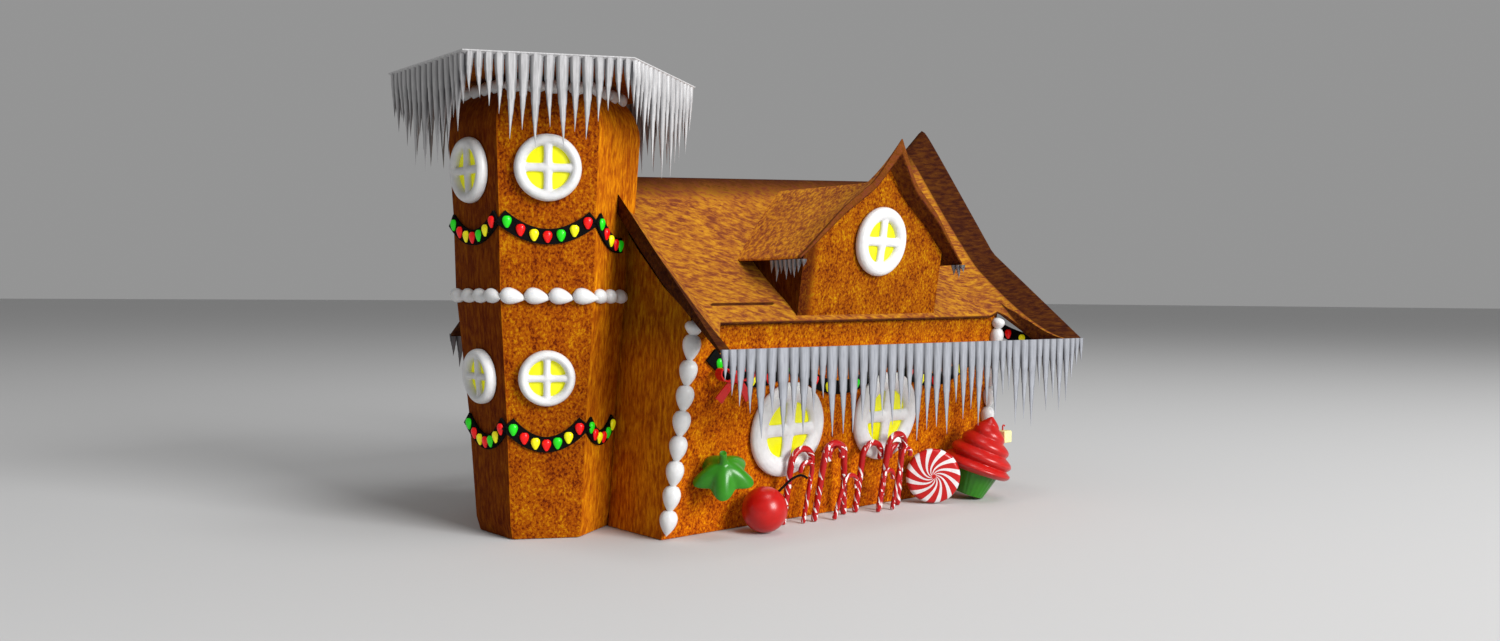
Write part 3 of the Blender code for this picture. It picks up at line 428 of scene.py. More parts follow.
def roof_top(x, y):
    """Height of the roof's upper side."""
    distance = min(math.hypot(y, 0.0035) - 0.0035 * (1 - abs(y) / eave_y), eave_y)
    climb = 1.0 - distance / eave_y
    base = eave_z + (ridge_z(x) - eave_z) * climb ** 1.7
    if x < 0.0:
        left = max(0.0, ((roof_left + 0.037) - x) / 0.037)
        return base + (eave_z + 0.805 * (eave_y - distance) - base) * left ** 1.3
    run = 0.031 + 0.028 * climb
    right = max(0.0, (x - (roof_right - run)) / run)
    return base + (lip_z(distance) - base) * right ** 1.3


roof_plan = ((-0.1652, eave_y), (-0.1575, eave_y), (-0.1534, 0.1392), (-0.1471, 0.1284), (-0.1352, 0.1117),
             (-0.1230, 0.0985), (0.1400, 0.0985), (0.1445, 0.1090), (0.1475, eave_y), (0.1705, eave_y))


def reach_at(x):
    """How far the sheet reaches from the ridge: to the walls, and out to a tip at each corner."""
    for (x0, y0), (x1, y1) in zip(roof_plan, roof_plan[1:]):
        if x <= x1 + 1e-9:
            return y0 + (y1 - y0) * max(0.0, x - x0) / (x1 - x0)
    return eave_y


def roof_thickness(y, reach):
    """The sheet thins to its edge, and most towards the corner tips."""
    tip = (reach - 0.0985) / (eave_y - 0.0985)
    rim_thick = 0.0020
    inside = min(1.0, max(0.0, reach - abs(y)) / (0.020 + 0.040 * tip))
    return rim_thick + (0.012 - rim_thick) * inside


def edge_ease(y, reach):
    """How far the upper side is rounded down to the thin edge over the long walls."""
    tip = (reach - 0.0985) / (eave_y - 0.0985)
    return 0.0034 * (1.0 - tip) * max(0.0, (abs(y) - 0.0845) / 0.0140) ** 1.6


def roof_place(x, y, reach, below):
    """A point of the sheet; its left edge leans in towards the ridge."""
    lean = 0.015 * (1.0 - abs(y) / eave_y) * max(0.0, (roof_left + 0.037) - x) / 0.037
    drop = edge_ease(y, reach) + (roof_thickness(y, reach) if below else 0.0)
    return Vector((x + lean, y, roof_top(x, y) - drop))


def sheet_body(top, bottom):
    """Verts and faces of a closed slab between two grids."""
    rows, columns = len(top), len(top[0])
    verts = [p for row in top for p in row] + [p for row in bottom for p in row]
    lower = rows * columns
    faces = []
    for i in range(rows - 1):
        for j in range(columns - 1):
            a = i * columns + j
            faces.append((a, a + 1, a + columns + 1, a + columns))
            faces.append((lower + a, lower + a + columns, lower + a + columns + 1, lower + a + 1))
    rim = list(range(columns)) + [i * columns + columns - 1 for i in range(1, rows)]
    rim += [(rows - 1) * columns + j for j in range(columns - 2, -1, -1)]
    rim += [i * columns for i in range(rows - 2, 0, -1)]
    for k, a in enumerate(rim):
        b = rim[(k + 1) % len(rim)]
        faces.append((a, lower + a, lower + b, b))
    return verts, faces


roof_stops = ((0.37, (0.135, 0.030, 0.0110)), (0.44, (0.205, 0.055, 0.0120)), (0.50, (0.290, 0.095, 0.0110)),
              (0.56, (0.370, 0.145, 0.0100)), (0.66, (0.500, 0.225, 0.0140)))


def roof_finish(name, turn, lift=1.0):
    """Roof sheets: crumb drawn out along the ridge, darkened by painted shade where the mesh marks it."""
    finish, nodes, link, shader = new_finish(name, 0.80, 0.08)
    shown = [(at, tuple(lift * c for c in colour)) for at, colour in roof_stops]
    plain, crumb = dough(nodes, link, shown, (3.2, 1, 1), (0, 0, math.radians(turn)), 400.0, 36.0, 0.20)
    darken_painted_shade(nodes, link, shader, plain, crumb, (0.17, 0.11, 0.09))
    relief(nodes, link, shader, crumb, 0.0006, 0.55)
    return finish


roof_dough = roof_finish("gingerbread, roof crumb", -24, 1.06)

along = [roof_left + (-0.1230 - roof_left) * i / 20 for i in range(20)]
along += [-0.1230 + 0.2340 * i / 62 for i in range(62)]
along += [0.1110 + (roof_right - 0.1110) * i / 34 for i in range(35)]
slope_rows = [-0.0693 + 0.1386 * i / 46 for i in range(47)]
edge_rows = [(i + 1) / 22 for i in range(22)]


def roof_sheet_grid(below):
    """The sheet's upper side or underside, row by row from the front edge to the back."""
    rows = []
    for share in reversed(edge_rows):
        rows.append([roof_place(x, -(0.0693 + (reach_at(x) - 0.0693) * share), reach_at(x), below) for x in along])
    rows += [[roof_place(x, y, reach_at(x), below) for x in along] for y in slope_rows]
    for share in edge_rows:
        rows.append([roof_place(x, 0.0693 + (reach_at(x) - 0.0693) * share, reach_at(x), below) for x in along])
    return rows


top, bottom = roof_sheet_grid(False), roof_sheet_grid(True)
verts, faces = sheet_body(top, bottom)
roof = put("main_roof_sheet", verts, faces, roof_dough, sharp=50.0, nodes=("main_roof",))
notch = bpy.data.objects.new("turret_notch", turret.data.copy())
bpy.context.scene.collection.objects.link(notch)
cut = roof.modifiers.new("notch round the turret", "BOOLEAN")
cut.operation = "DIFFERENCE"
cut.object = notch
edge = roof.modifiers.new("soft edge", "BEVEL")
edge.width = 0.0009
edge.segments = 2
edge.angle_limit = math.radians(50)
apply_modifiers(roof)
bpy.data.objects.remove(notch, do_unlink=True)
crumbs = bmesh.new()
crumbs.from_mesh(roof.data)
islands = []
waiting = set(crumbs.faces)
while waiting:
    stack = [waiting.pop()]
    island = set(stack)
    while stack:
        for side in stack.pop().edges:
            for face in side.link_faces:
                if face in waiting:
                    waiting.remove(face)
                    island.add(face)
                    stack.append(face)
    islands.append(island)
islands.sort(key=len)
for island in islands[:-1]:
    bmesh.ops.delete(crumbs, geom=list(island), context="FACES")
crumbs.to_mesh(roof.data)
crumbs.free()
roof.data.shade_smooth()
roof.data.set_sharp_from_angle(angle=math.radians(50))


def roof_painted_shade(point, normal):
    """Painted shade: darker along the ridge, on the end faces, at the left edge, inside the right lip, in a thin groove
    line and below.
    """
    distance = abs(point.y)
    ridge = 0.50 * max(0.0, 1.0 - distance / 0.016) ** 0.6
    ends = 1.0 if abs(normal.x) > 0.75 and normal.z < 0.5 else 0.0
    left_edge = roof_left + 0.015 * (1.0 - distance / eave_y)
    left = max(0.0, 1.0 - (point.x - left_edge) / 0.016)
    lip = min(1.0, max(0.0, (point.x - 0.1490) / 0.003))
    groove_line = 1.0 if -0.121 < point.x < -0.071 and abs(distance - 0.0884) < 0.0008 else 0.0
    under = 0.9 if normal.z < -0.2 else 0.0
    return max(ridge, ends, left, lip, groove_line, under)


paint_shade_share(roof, roof_painted_shade)

# ---------------------------------------------------------------- dormer roof
# A smaller sheet set into the front slope over the dormer. Its front edge is pulled up to a tall
# point and its rim is rounded.

dormer_roof_low, dormer_roof_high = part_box("dormer_roof")
dormer_x = (dormer_roof_low[0] + dormer_roof_high[0]) / 2
dormer_half = dormer_roof_high[0] - dormer_x
dormer_peak = dormer_roof_high[2]
dormer_eave_z = 0.1641


def wall_y(z):
    """How far the long walls stand from the ridge plane at a height."""
    return 0.0756 + 0.158 * z


def rake_z(x):
    """Height of the front edge: a point, a steep run and a flatter run."""
    x = abs(x)
    marks = ((0.0, dormer_peak), (0.0182, 0.2149), (0.0444, 0.1960), (dormer_half, dormer_eave_z))
    for (x0, z0), (x1, z1) in zip(marks, marks[1:]):
        if x <= x1:
            return z0 + (z1 - z0) * (x - x0) / (x1 - x0)
    return dormer_eave_z


def soft_rake_z(x):
    """The same edge with its kinks eased."""
    return (rake_z(x - 0.004) + 2 * rake_z(x) + rake_z(x + 0.004)) / 4 if abs(x) > 0.004 else rake_z(x)


def dormer_point(x, back, under):
    """A point of the dormer roof at a distance behind its front edge."""
    reach = 1.0 - abs(x) / dormer_half
    base = dormer_eave_z + (0.2150 - dormer_eave_z) * reach
    front = soft_rake_z(x)
    flare = (front - base) * max(0.0, 1.0 - back / 0.030) ** 1.3
    y = -(wall_y(front) + 0.0095) + back
    if under:
        return Vector((dormer_x + x, y, base - (0.0018 + 0.0020 * reach) + 0.76 * flare))
    return Vector((dormer_x + x, y, base + flare))


dormer_across = [dormer_half * (-1 + 2 * i / 64) for i in range(65)]
backs = [0.115 * (i / 30) ** 1.5 for i in range(31)]
top = [[dormer_point(x, back, False) for x in dormer_across] for back in backs]
bottom = [[dormer_point(x, back, True) for x in dormer_across] for back in backs]
verts, faces = sheet_body(top, bottom)
# The dormer roof's crumb is made 1.9 times as light: painted light on its side slopes.
dormer_dough = roof_finish("gingerbread, dormer roof crumb", 24, 1.9)
dormer_roof = put("dormer_roof_sheet", verts, faces, dormer_dough, sharp=50.0, nodes=("dormer_roof",))
edge = dormer_roof.modifiers.new("soft edge", "BEVEL")
edge.width = 0.0009
edge.segments = 3
edge.angle_limit = math.radians(50)
apply_modifiers(dormer_roof)
# Painted shade on the underside, and a darker band painted along the front edge.
paint_shade_share(dormer_roof, lambda point, normal: 0.75 if normal.z < -0.25 else (
    0.40 if abs(point.y + wall_y(point.z) + 0.0095) < 0.0030 else 0.0))

# The dormer's front and side sheets stand on the roof and reach up to the underside of its own roof.
dormer_wall_half = 0.0651


def dormer_wall_grid(above):
    """Rows from the front to the back, under the dormer roof or just inside the main roof."""
    rows = []
    for i in range(34):
        back = 0.0095 + 0.075 * (i / 33) ** 1.3
        row = []
        for j in range(53):
            x = dormer_wall_half * (-1 + 2 * j / 52)
            roof_under = dormer_point(x, back, True)
            front = wall_y(roof_under.z) if i == 0 else -roof_under.y
            foot_y = -min(front, wall_y(0.1290)) if i else -wall_y(0.1290)
            foot = Vector((dormer_x + x, foot_y, roof_top(dormer_x + x, foot_y) - 0.0050))
            if i == 0:
                foot.y = -wall_y(foot.z)
            head = Vector((dormer_x + x, -front, max(roof_under.z - 0.0002, foot.z + 0.0006)))
            row.append(head if above else foot)
        rows.append(row)
    return rows


verts, faces = sheet_body(dormer_wall_grid(True), dormer_wall_grid(False))
# Painted shade: the left side sheet takes a copy of the wall crumb at 0.4 of its brightness.
shade_dough = wall_finish("gingerbread, shaded dormer side", [(at, tuple(0.4 * c for c in colour)) for at, colour in speckle_stops],
                          [(at, tuple(0.4 * c for c in colour)) for at, colour in streak_and_painted_light_stops], (0.6, 0.5, 0.5))
dormer_walls = put("dormer_wall_sheets", verts, faces, (house_dough, shade_dough), smooth=False,
                   nodes=("dormer_walls",))
for level, face in enumerate(dormer_walls.data.polygons):
    face.material_index = 1 if face.normal.x < -0.6 else 0
# Painted shade: the walls are darkened towards their left edge.
paint_shade_share(dormer_walls, lambda point, normal: 0.9 * (1.0 - (point.x - dormer_x + dormer_wall_half) / 0.014))

# ---------------------------------------------------------------- icicles
# Icing drawn down into long spikes from a piped line under each eave and all round the turret roof.
# The icing is stiff, a cold pale grey-blue, and each spike swells and narrows once or twice.

def icicle_icing(name, dark, pale):
    """Stiff icing with a faint upright grain, darkened by painted shade where the spikes meet."""
    finish, nodes, link, shader = new_finish(name, 0.32, 0.45)
    place = nodes.new("ShaderNodeTexCoord").outputs["Object"]
    streak = grain(nodes, link, stretched(nodes, link, place, (1, 1, 8)), 900.0, 2.0)
    plain = ramp(nodes, link, streak, ((0.35, dark), (0.65, pale)))
    crevice_shade = nodes.new("ShaderNodeAttribute")
    crevice_shade.attribute_name = "crevice_shade"
    deep = blend(nodes, link, 1.0, plain, (0.07, 0.07, 0.08), "MULTIPLY")
    link(blend(nodes, link, crevice_shade.outputs["Fac"], plain, deep), shader.inputs["Base Color"])
    relief(nodes, link, shader, streak, 0.0003, 0.3)
    return finish


def paint_crevice_shades(piece, shares):
    """Writes the painted shade between two spikes at each corner of the mesh."""
    layer = piece.data.attributes.new("crevice_shade", "FLOAT", "POINT")
    layer.data.foreach_set("value", shares)


ice = icicle_icing("icicle icing, cold grey", (0.280, 0.290, 0.322), (0.370, 0.382, 0.418))
rim_ice = icicle_icing("icicle icing, grey", (0.440, 0.435, 0.440), (0.580, 0.573, 0.580))
crevice_shades = []


def spike(verts, faces, top, width, depth, length, seed, across):
    """One icicle under a point: a blunt eight-sided column that narrows in steps to a fine tip."""
    sides = 8
    start = len(verts)
    wobble = noise.noise_vector(Vector((seed * 1.7, 3.1, 5.3)))
    stages = ((0.0, 1.0), (0.10, 0.98), (0.22, 0.90), (0.34, 0.84), (0.37, 0.74), (0.52, 0.62), (0.55, 0.52),
              (0.70, 0.38), (0.73, 0.31), (0.88, 0.14), (1.0, 0.02))
    forward_way = Vector((0, 0, 1)).cross(across)
    for share, girth in stages:
        share_here = min(1.0, share + (0.03 * wobble.z if 0.2 < share < 0.9 else 0.0))
        bend = 0.0007 * math.sin(3.0 * share + seed) * share
        centre = (top + Vector((0, 0, -length * share_here)) + across * bend
                  + Vector((wobble.x, wobble.y, 0)) * 0.0006 * share)
        for j in range(sides):
            angle = 2 * math.pi * (j + 0.5) / sides + 0.5 * wobble.x * share
            verts.append(centre + across * (math.cos(angle) * width / 2 * girth)
                         + forward_way * (math.sin(angle) * depth / 2 * (0.35 + 0.65 * girth if share < 0.3 else girth)))
            # Painted shade on the sides where one spike meets the next.
            crevice_shades.append(abs(math.cos(2 * math.pi * (j + 0.5) / sides)) ** 2.0 * (1.0 if share < 0.4 else 0.75))
    for i in range(len(stages) - 1):
        for j in range(sides):
            k = (j + 1) % sides
            a = start + i * sides
            faces.append((a + j, a + k, a + sides + k, a + sides + j))
    faces.append(tuple(start + j for j in reversed(range(sides))))
    faces.append(tuple(start + (len(stages) - 1) * sides + j for j in range(sides)))


def spread(lengths):
    """Middles and widths of cells along a row, wider for longer icicles."""
    widths = [28.0 + length for length in lengths]
    total = sum(widths)
    place, cells = 0.0, []
    for width in widths:
        cells.append(((place + width / 2) / total, width / total))
        place += width
    return cells


eave_mm = (16, 24, 30, 34, 48, 36, 52, 40, 48, 36, 29, 51, 50, 50, 44, 55, 42, 48, 41, 37, 59, 53,
           52, 57, 38, 49, 43, 54, 43, 51, 36, 33, 56, 53, 59, 33, 49, 41, 50, 44, 29, 20, 17)
for name, node in (("front_icicles", "icicles_front"), ("back_icicles", "icicles_back")):
    low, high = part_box(node)
    verts, faces = [], []
    crevice_shades.clear()
    y = (low[1] + high[1]) / 2
    for number, ((share, width), length) in enumerate(zip(spread(eave_mm), eave_mm)):
        x = low[0] + (high[0] - low[0]) * share
        girth = width * (high[0] - low[0]) * 1.10
        spike(verts, faces, Vector((x, y, high[2])), girth, high[1] - low[1], length / 1000, number, Vector((1, 0, 0)))
    paint_crevice_shades(put(name, verts, faces, ice, sharp=28.0, nodes=(node,)), crevice_shades)

rim_low, rim_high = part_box("tower_roof")
ice_low, ice_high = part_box("icicles_tower")
rim_r = (rim_high[1] - rim_low[1]) / 2
rim_side_mm = (22, 31, 26, 40, 30, 52, 36, 57, 38, 55, 46, 44, 30, 38, 24)
rim_front_mm = (18, 21, 25, 29, 42, 37, 46, 35, 46, 37, 41, 31, 25, 21, 18)
plate_top, plate_edge = rim_low[2] + 0.0039, rim_low[2] + 0.0033
rings = []
for reach, z in ((rim_r - 0.0064, rim_low[2]), (rim_r - 0.0052, rim_low[2] + 0.0004), (rim_r, plate_edge),
                 (rim_r, plate_top), (rim_r - 0.0060, plate_top + 0.0006), (0.0300, rim_high[2] - 0.0020),
                 (0.0004, rim_high[2])):
    rings.append([Vector((turret_x + reach * math.cos(a), reach * math.sin(a), z))
                  for a in (math.radians(30 + 60 * i) for i in range(6))])
verts, faces = loft(rings)
plate = put("turret_roof_plate", verts, faces, (turret_dough, rim_ice), smooth=False, nodes=("tower_roof",))
for face in plate.data.polygons:
    face.material_index = 0 if face.center.z < rim_low[2] + 0.0003 else 1

verts, faces = [], []
crevice_shades.clear()
for side in range(6):
    a0, a1 = math.radians(30 + 60 * side), math.radians(90 + 60 * side)
    rim_mm = rim_side_mm if side in (0, 2, 4) else rim_front_mm
    reach = rim_r - 0.0030
    start = Vector((turret_x + reach * math.cos(a0), reach * math.sin(a0), plate_edge - 0.0001))
    end = Vector((turret_x + reach * math.cos(a1), reach * math.sin(a1), plate_edge - 0.0001))
    run = (end - start).normalized()
    for number, ((share, width), length) in enumerate(zip(spread(rim_mm), rim_mm)):
        spike(verts, faces, start.lerp(end, share), (end - start).length * width * 1.06, 0.0050,
              length / 1000 + 0.0034, number + 20 * side, run)
paint_crevice_shades(put("turret_icicles", verts, faces, rim_ice, sharp=28.0, nodes=("icicles_tower",)),
               crevice_shades)

verts, faces = [], []
crevice_shades.clear()
for side, lengths in ((-1, (4.6, 8.0, 11, 9.3, 12.3, 8.8, 13.6, 8.3)), (1, (5, 9, 7))):
    for number, length in enumerate(lengths):
        spike(verts, faces, Vector((dormer_x + side * 0.0755, -0.1125 + 0.0039 * number, dormer_eave_z - 0.0010)),
              0.0040, 0.0026, length / 1000, number + 8 * side, Vector((0, 1, 0)))
paint_crevice_shades(put("dormer_icicles", verts, faces, ice, sharp=28.0), crevice_shades)

# ---------------------------------------------------------------- royal icing shells
# White royal icing piped in overlapping shells: down the four corners of the house, round the
# turret half way up, and as a crown of dabs under the turret roof.

icing, nodes, link, shader = new_finish("white royal icing", 0.38, 0.45)
place = nodes.new("ShaderNodeTexCoord").outputs["Object"]
smear = grain(nodes, link, place, 260.0, 3.0, 0.5)
link(ramp(nodes, link, smear, ((0.3, (0.66, 0.66, 0.66)), (0.7, (0.74, 0.74, 0.74)))), shader.inputs["Base Color"])
shader.inputs["Subsurface Weight"].default_value = 0.08
shader.inputs["Subsurface Radius"].default_value = (0.004, 0.003, 0.002)
shader.inputs["Subsurface Scale"].default_value = 0.3
relief(nodes, link, shader, smear, 0.0008, 0.25)


def shell(verts, faces, head, tail, out, radius, droop=0.0):
    """One piped shell: a fat round head that is drawn out to a point at its tail."""
    along_way = (tail - head).normalized()
    side = along_way.cross(out).normalized()
    out = side.cross(along_way).normalized()
    length = (tail - head).length
    sides, steps = 14, 12
    start = len(verts)
    for i in range(steps + 1):
        share = i / steps
        if share < 0.34:
            girth = math.sqrt(max(0.0, 1 - ((0.34 - share) / 0.34) ** 2)) * 0.98 + 0.02
        else:
            girth = max(0.03, math.cos((share - 0.34) / 0.66 * math.pi / 2) ** 0.9)
        centre = head + along_way * (length * share) + side * (droop * share ** 2)
        for j in range(sides):
            angle = 2 * math.pi * j / sides
            verts.append(centre + side * (math.cos(angle) * radius * girth) + out * (math.sin(angle) * radius * 0.95 * girth))
    for i in range(steps):
        for j in range(sides):
            k = (j + 1) % sides
            a = start + i * sides
            faces.append((a + j, a + k, a + sides + k, a + sides + j))
    faces.append(tuple(start + j for j in reversed(range(sides))))
    faces.append(tuple(start + steps * sides + j for j in range(sides)))


for name, node, sx, sy in (("corner_shells_front_left", "piping_front_left", -1, -1),
                           ("corner_shells_front_right", "piping_front_right", 1, -1),
                           ("corner_shells_back_right", "piping_back_right", 1, 1),
                           ("corner_shells_back_left", "piping_back_left", -1, 1)):
    low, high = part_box(node)
    verts, faces = [], []
    beads = 8
    bead = (high[2] - low[2]) / beads
    for i in range(-1, beads):
        ends = []
        for z in (high[2] - i * bead + 0.0012, high[2] - (i + 1) * bead - 0.0012):
            z = min(max(z, low[2]), high[2] + 0.0085)
            ends.append(Vector((sx * (0.147 - 0.035 * z - 0.0010), sy * (wall_y(z) + 0.0026), z)))
        if (ends[0] - ends[1]).length > 0.006:
            shell(verts, faces, ends[0], ends[1], Vector((sx, sy, 0)).normalized(), 0.0053)
    put(name, verts, faces, icing, nodes=(node,))

verts, faces = [], []
band_z = 0.1400
reach = turret_radius(band_z) + 0.0018
corners = [Vector((turret_x + reach * math.cos(math.radians(d)), reach * math.sin(math.radians(d)), band_z))
           for d in (330, 270, 210, 150, 90, 30)]
for number, (a, b) in enumerate(zip(corners, corners[1:])):
    middle = (a + b) / 2 - Vector((turret_x, 0, band_z))
    out = Vector((middle.x, middle.y, 0)).normalized()
    for i in range(4):
        head, tail = a.lerp(b, (i + 0.96) / 4), a.lerp(b, (i - 0.14) / 4)
        if max(head.x, tail.x) > -0.1405:
            continue
        plump = 0.0047 if number == 1 else 0.0042
        shell(verts, faces, head + Vector((0, 0, 0.0010)), tail + Vector((0, 0, -0.0016)), out, plump)
put("turret_band_shells", verts, faces, icing, nodes=("piping_tower_band",))

crown_low, crown_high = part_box("piping_tower_crown")
verts, faces = [], []
crown_z = (crown_low[2] + crown_high[2]) / 2
reach = turret_radius(crown_z) + 0.0016
for side in range(5):
    a0, a1 = math.radians(30 + 60 * side), math.radians(90 + 60 * side)
    a = Vector((turret_x + reach * math.cos(a0), reach * math.sin(a0), crown_z))
    b = Vector((turret_x + reach * math.cos(a1), reach * math.sin(a1), crown_z))
    out = (a + b) / 2 - Vector((turret_x, 0, crown_z))
    for i in range(4):
        shell(verts, faces, a.lerp(b, (i - 0.05) / 4), a.lerp(b, (i + 1.1) / 4), out.normalized(), 0.0045)
put("turret_crown_dabs", verts, faces, icing, nodes=("piping_tower_crown",))

# ---------------------------------------------------------------- windows
# Each window is a disc of poured yellow sugar with a faint painted glow, framed by a thick round ring
# and a cross of white icing that were piped in one go and have run together.

pane, nodes, link, shader = new_finish("yellow sugar glass", 0.25, 0.5)
place = nodes.new("ShaderNodeTexCoord").outputs["Object"]
cloud = grain(nodes, link, place, 140.0, 2.0)
sugar = ramp(nodes, link, cloud, ((0.3, (0.70, 0.69, 0.002)), (0.7, (0.76, 0.75, 0.004))))
link(sugar, shader.inputs["Base Color"])
link(sugar, shader.inputs["Emission Color"])
# Painted light: the sugar glass glows faintly, though no lamp is inside.
shader.inputs["Emission Strength"].default_value = 0.22

window_nodes = [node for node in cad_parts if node.startswith("window_") and node.endswith("_frame")]
for node in sorted(window_nodes):
    low, high = (Vector(corner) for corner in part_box(node))
    middle = (low + high) / 2
    if "_tower_" in node:
        degrees = 240 if "_front_" in node else (180 if "_side_" in node else 120)
        z = 0.0935 if node.endswith("low_frame") else 0.2121
        centre, right, up, out = turret_face(degrees, z, 0.0003)
        radius = 0.0161 if node.endswith("low_frame") else 0.0189
    else:
        side = 1 if "_back_" in node else -1
        up = Vector((0, side * 0.158, 1)).normalized()
        right = Vector((-side, 0, 0))
        out = right.cross(up)
        radius = (high.x - low.x) / 2
        z = middle.z - 0.5 * 0.158 * 0.0060
        centre = Vector((middle.x, side * wall_y(z), z)) + 0.0003 * out
    place = Matrix((right, up, out)).transposed().to_4x4()
    place.translation = centre
    width = (0.34 if "_tower_" in node else 0.40) * radius
    bar = (0.125 if "_tower_" in node else 0.13) * radius
    mid = radius - width / 2
    rise = 0.0062
    verts, faces = [], []
    segments, sides = 64, 14
    for i in range(segments):
        angle = 2 * math.pi * i / segments
        lump = 1.0 + 0.035 * noise.noise(Vector((math.cos(angle) * 1.6, math.sin(angle) * 1.6, radius * 900)))
        for j in range(sides):
            turn = 2 * math.pi * j / sides
            r = mid + width / 2 * math.cos(turn) * lump
            h = max(0.0, 0.0022 + (rise - 0.0022) * math.sin(turn) * lump)
            verts.append(place @ Vector((min(r, radius) * math.cos(angle), min(r, radius) * math.sin(angle), h)))
    for i in range(segments):
        for j in range(sides):
            a, b = i * sides + j, i * sides + (j + 1) % sides
            c, d = ((i + 1) % segments) * sides + (j + 1) % sides, ((i + 1) % segments) * sides + j
            faces.append((a, b, c, d))
    for turn in (0.0, math.pi / 2):
        spin = place @ Matrix.Rotation(turn, 4, "Z")
        rings = []
        reach = mid
        for i in range(25):
            s = -1 + 2 * i / 24
            half = bar * (1.0 + 0.22 * math.exp(-(s / 0.22) ** 2) + 0.30 * abs(s) ** 4)
            ring = []
            for j in range(12):
                bend = 2 * math.pi * j / 12
                height = 0.0030 + 0.0020 * math.sin(bend) * (1.0 + 0.2 * math.exp(-(s / 0.25) ** 2))
                ring.append(spin @ Vector((s * reach, half * math.cos(bend), height)))
            rings.append(ring)
        start = len(verts)
        more_verts, more_faces = loft(rings)
        verts += more_verts
        faces += [tuple(start + k for k in face) for face in more_faces]
    piece = put(node.replace("_frame", "_icing"), verts, faces, icing, nodes=(node,))
    fuse = piece.modifiers.new("run together", "REMESH")
    fuse.mode = "VOXEL"
    fuse.voxel_size = max(0.00045, radius / 50)
    ease = piece.modifiers.new("smooth", "SMOOTH")
    ease.factor = 0.5
    ease.iterations = 3
    apply_modifiers(piece)
    piece.data.shade_smooth()
    reach = radius - 0.62 * width
    rings = [[place @ Vector((r * math.cos(a), r * math.sin(a), h)) for a in (2 * math.pi * j / 48 for j in range(48))]
             for r, h in ((reach, 0.0002), (reach, 0.0014), (reach - 0.0008, 0.0018), (0.5 * reach, 0.0021), (0.0003, 0.0022))]
    verts, faces = loft(rings)
    put(node.replace("_frame", "_glass"), verts, faces, pane, nodes=(node.replace("_frame", "_pane"),))

# ---------------------------------------------------------------- garlands
# A flat black liquorice lace with glossy drop-shaped sugar bulbs in green, red and yellow pressed on
# to it. It hangs in swags round the turret, under both eaves and on the right gable.

lace, nodes, link, shader = new_finish("black liquorice lace", 0.85, 0.06)
place = nodes.new("ShaderNodeTexCoord").outputs["Object"]
fibre = grain(nodes, link, place, 1200.0, 2.0)
link(ramp(nodes, link, fibre, ((0.3, (0.002, 0.002, 0.002)), (0.8, (0.006, 0.006, 0.006)))), shader.inputs["Base Color"])


def boiled_sugar(name, colour, painted_glow=0.0):
    """Glossy coloured sugar with a faint cloudiness, and a painted glow when one is given."""
    finish, nodes, link, shader = new_finish(name, 0.30, 0.35)
    place = nodes.new("ShaderNodeTexCoord").outputs["Object"]
    cloud = grain(nodes, link, place, 300.0, 2.0)
    deep = tuple(c * 0.86 for c in colour)
    tone = ramp(nodes, link, cloud, ((0.3, deep), (0.7, colour)))
    link(tone, shader.inputs["Base Color"])
    if painted_glow:
        link(tone, shader.inputs["Emission Color"])
        shader.inputs["Emission Strength"].default_value = painted_glow
    shader.inputs["Coat Weight"].default_value = 0.12
    shader.inputs["Coat Roughness"].default_value = 0.15
    return finish


# Painted light: the sugar bulbs glow faintly, though they are no lamps.
bulb_green = boiled_sugar("green sugar bulb", (0.012, 0.62, 0.008), 0.30)
bulb_red = boiled_sugar("red sugar bulb", (0.78, 0.003, 0.003), 0.30)
bulb_yellow = boiled_sugar("yellow sugar bulb", (0.85, 0.80, 0.004), 0.26)
bulb_order = (1, 2, 3, 2, 1, 3, 2)


def bulb(verts, faces, shades, centre, side, up, out, shade):
    """One drop-shaped bulb, wide above and narrower below."""
    rings = []
    for i in range(1, 8):
        lat = math.pi * i / 8
        z = math.cos(lat)
        girth = math.sin(lat) * (1.0 + 0.34 * z)
        rings.append([centre + side * (math.cos(a) * 0.0025 * girth) + up * (0.0034 * z - 0.0004 * (z < 0) * z * z)
                      + out * (math.sin(a) * 0.0017 * girth) for a in (2 * math.pi * j / 12 for j in range(12))])
    start = len(verts)
    more_verts, more_faces = loft(rings)
    verts += more_verts
    faces += [tuple(start + k for k in face) for face in more_faces]
    shades += [shade] * len(more_faces)


def swag(verts, faces, shades, place_at, bulbs, steps=40, half=0.0044, thick=0.0014):
    """One hanging length of lace with its bulbs; place_at gives centre, side, up and out."""
    rings = []
    for i in range(steps + 1):
        share = i / steps
        centre, side, up, out = place_at(share)
        after = place_at(min(1.0, share + 0.01))[0]
        before = place_at(max(0.0, share - 0.01))[0]
        run = (after - before).normalized()
        rise = out.cross(run).normalized()
        rings.append([centre + rise * half, centre + rise * half + out * thick, centre - rise * half + out * thick,
                      centre - rise * half])
    start = len(verts)
    more_verts, more_faces = loft(rings)
    verts += more_verts
    faces += [tuple(start + k for k in face) for face in more_faces]
    shades += [0] * len(more_faces)
    for i in range(bulbs):
        centre, side, up, out = place_at((i + 0.5) / bulbs)
        bulb(verts, faces, shades, centre + out * (thick + 0.0003), side, up, out, bulb_order[i % 7])


def hang(name, node, swags):
    """A garland of several swags as one piece."""
    verts, faces, shades = [], [], []
    for place_at, bulbs in swags:
        swag(verts, faces, shades, place_at, bulbs)
    piece = put(name, verts, faces, (lace, bulb_green, bulb_red, bulb_yellow), nodes=(node,))
    for face, shade in zip(piece.data.polygons, shades):
        face.material_index = shade


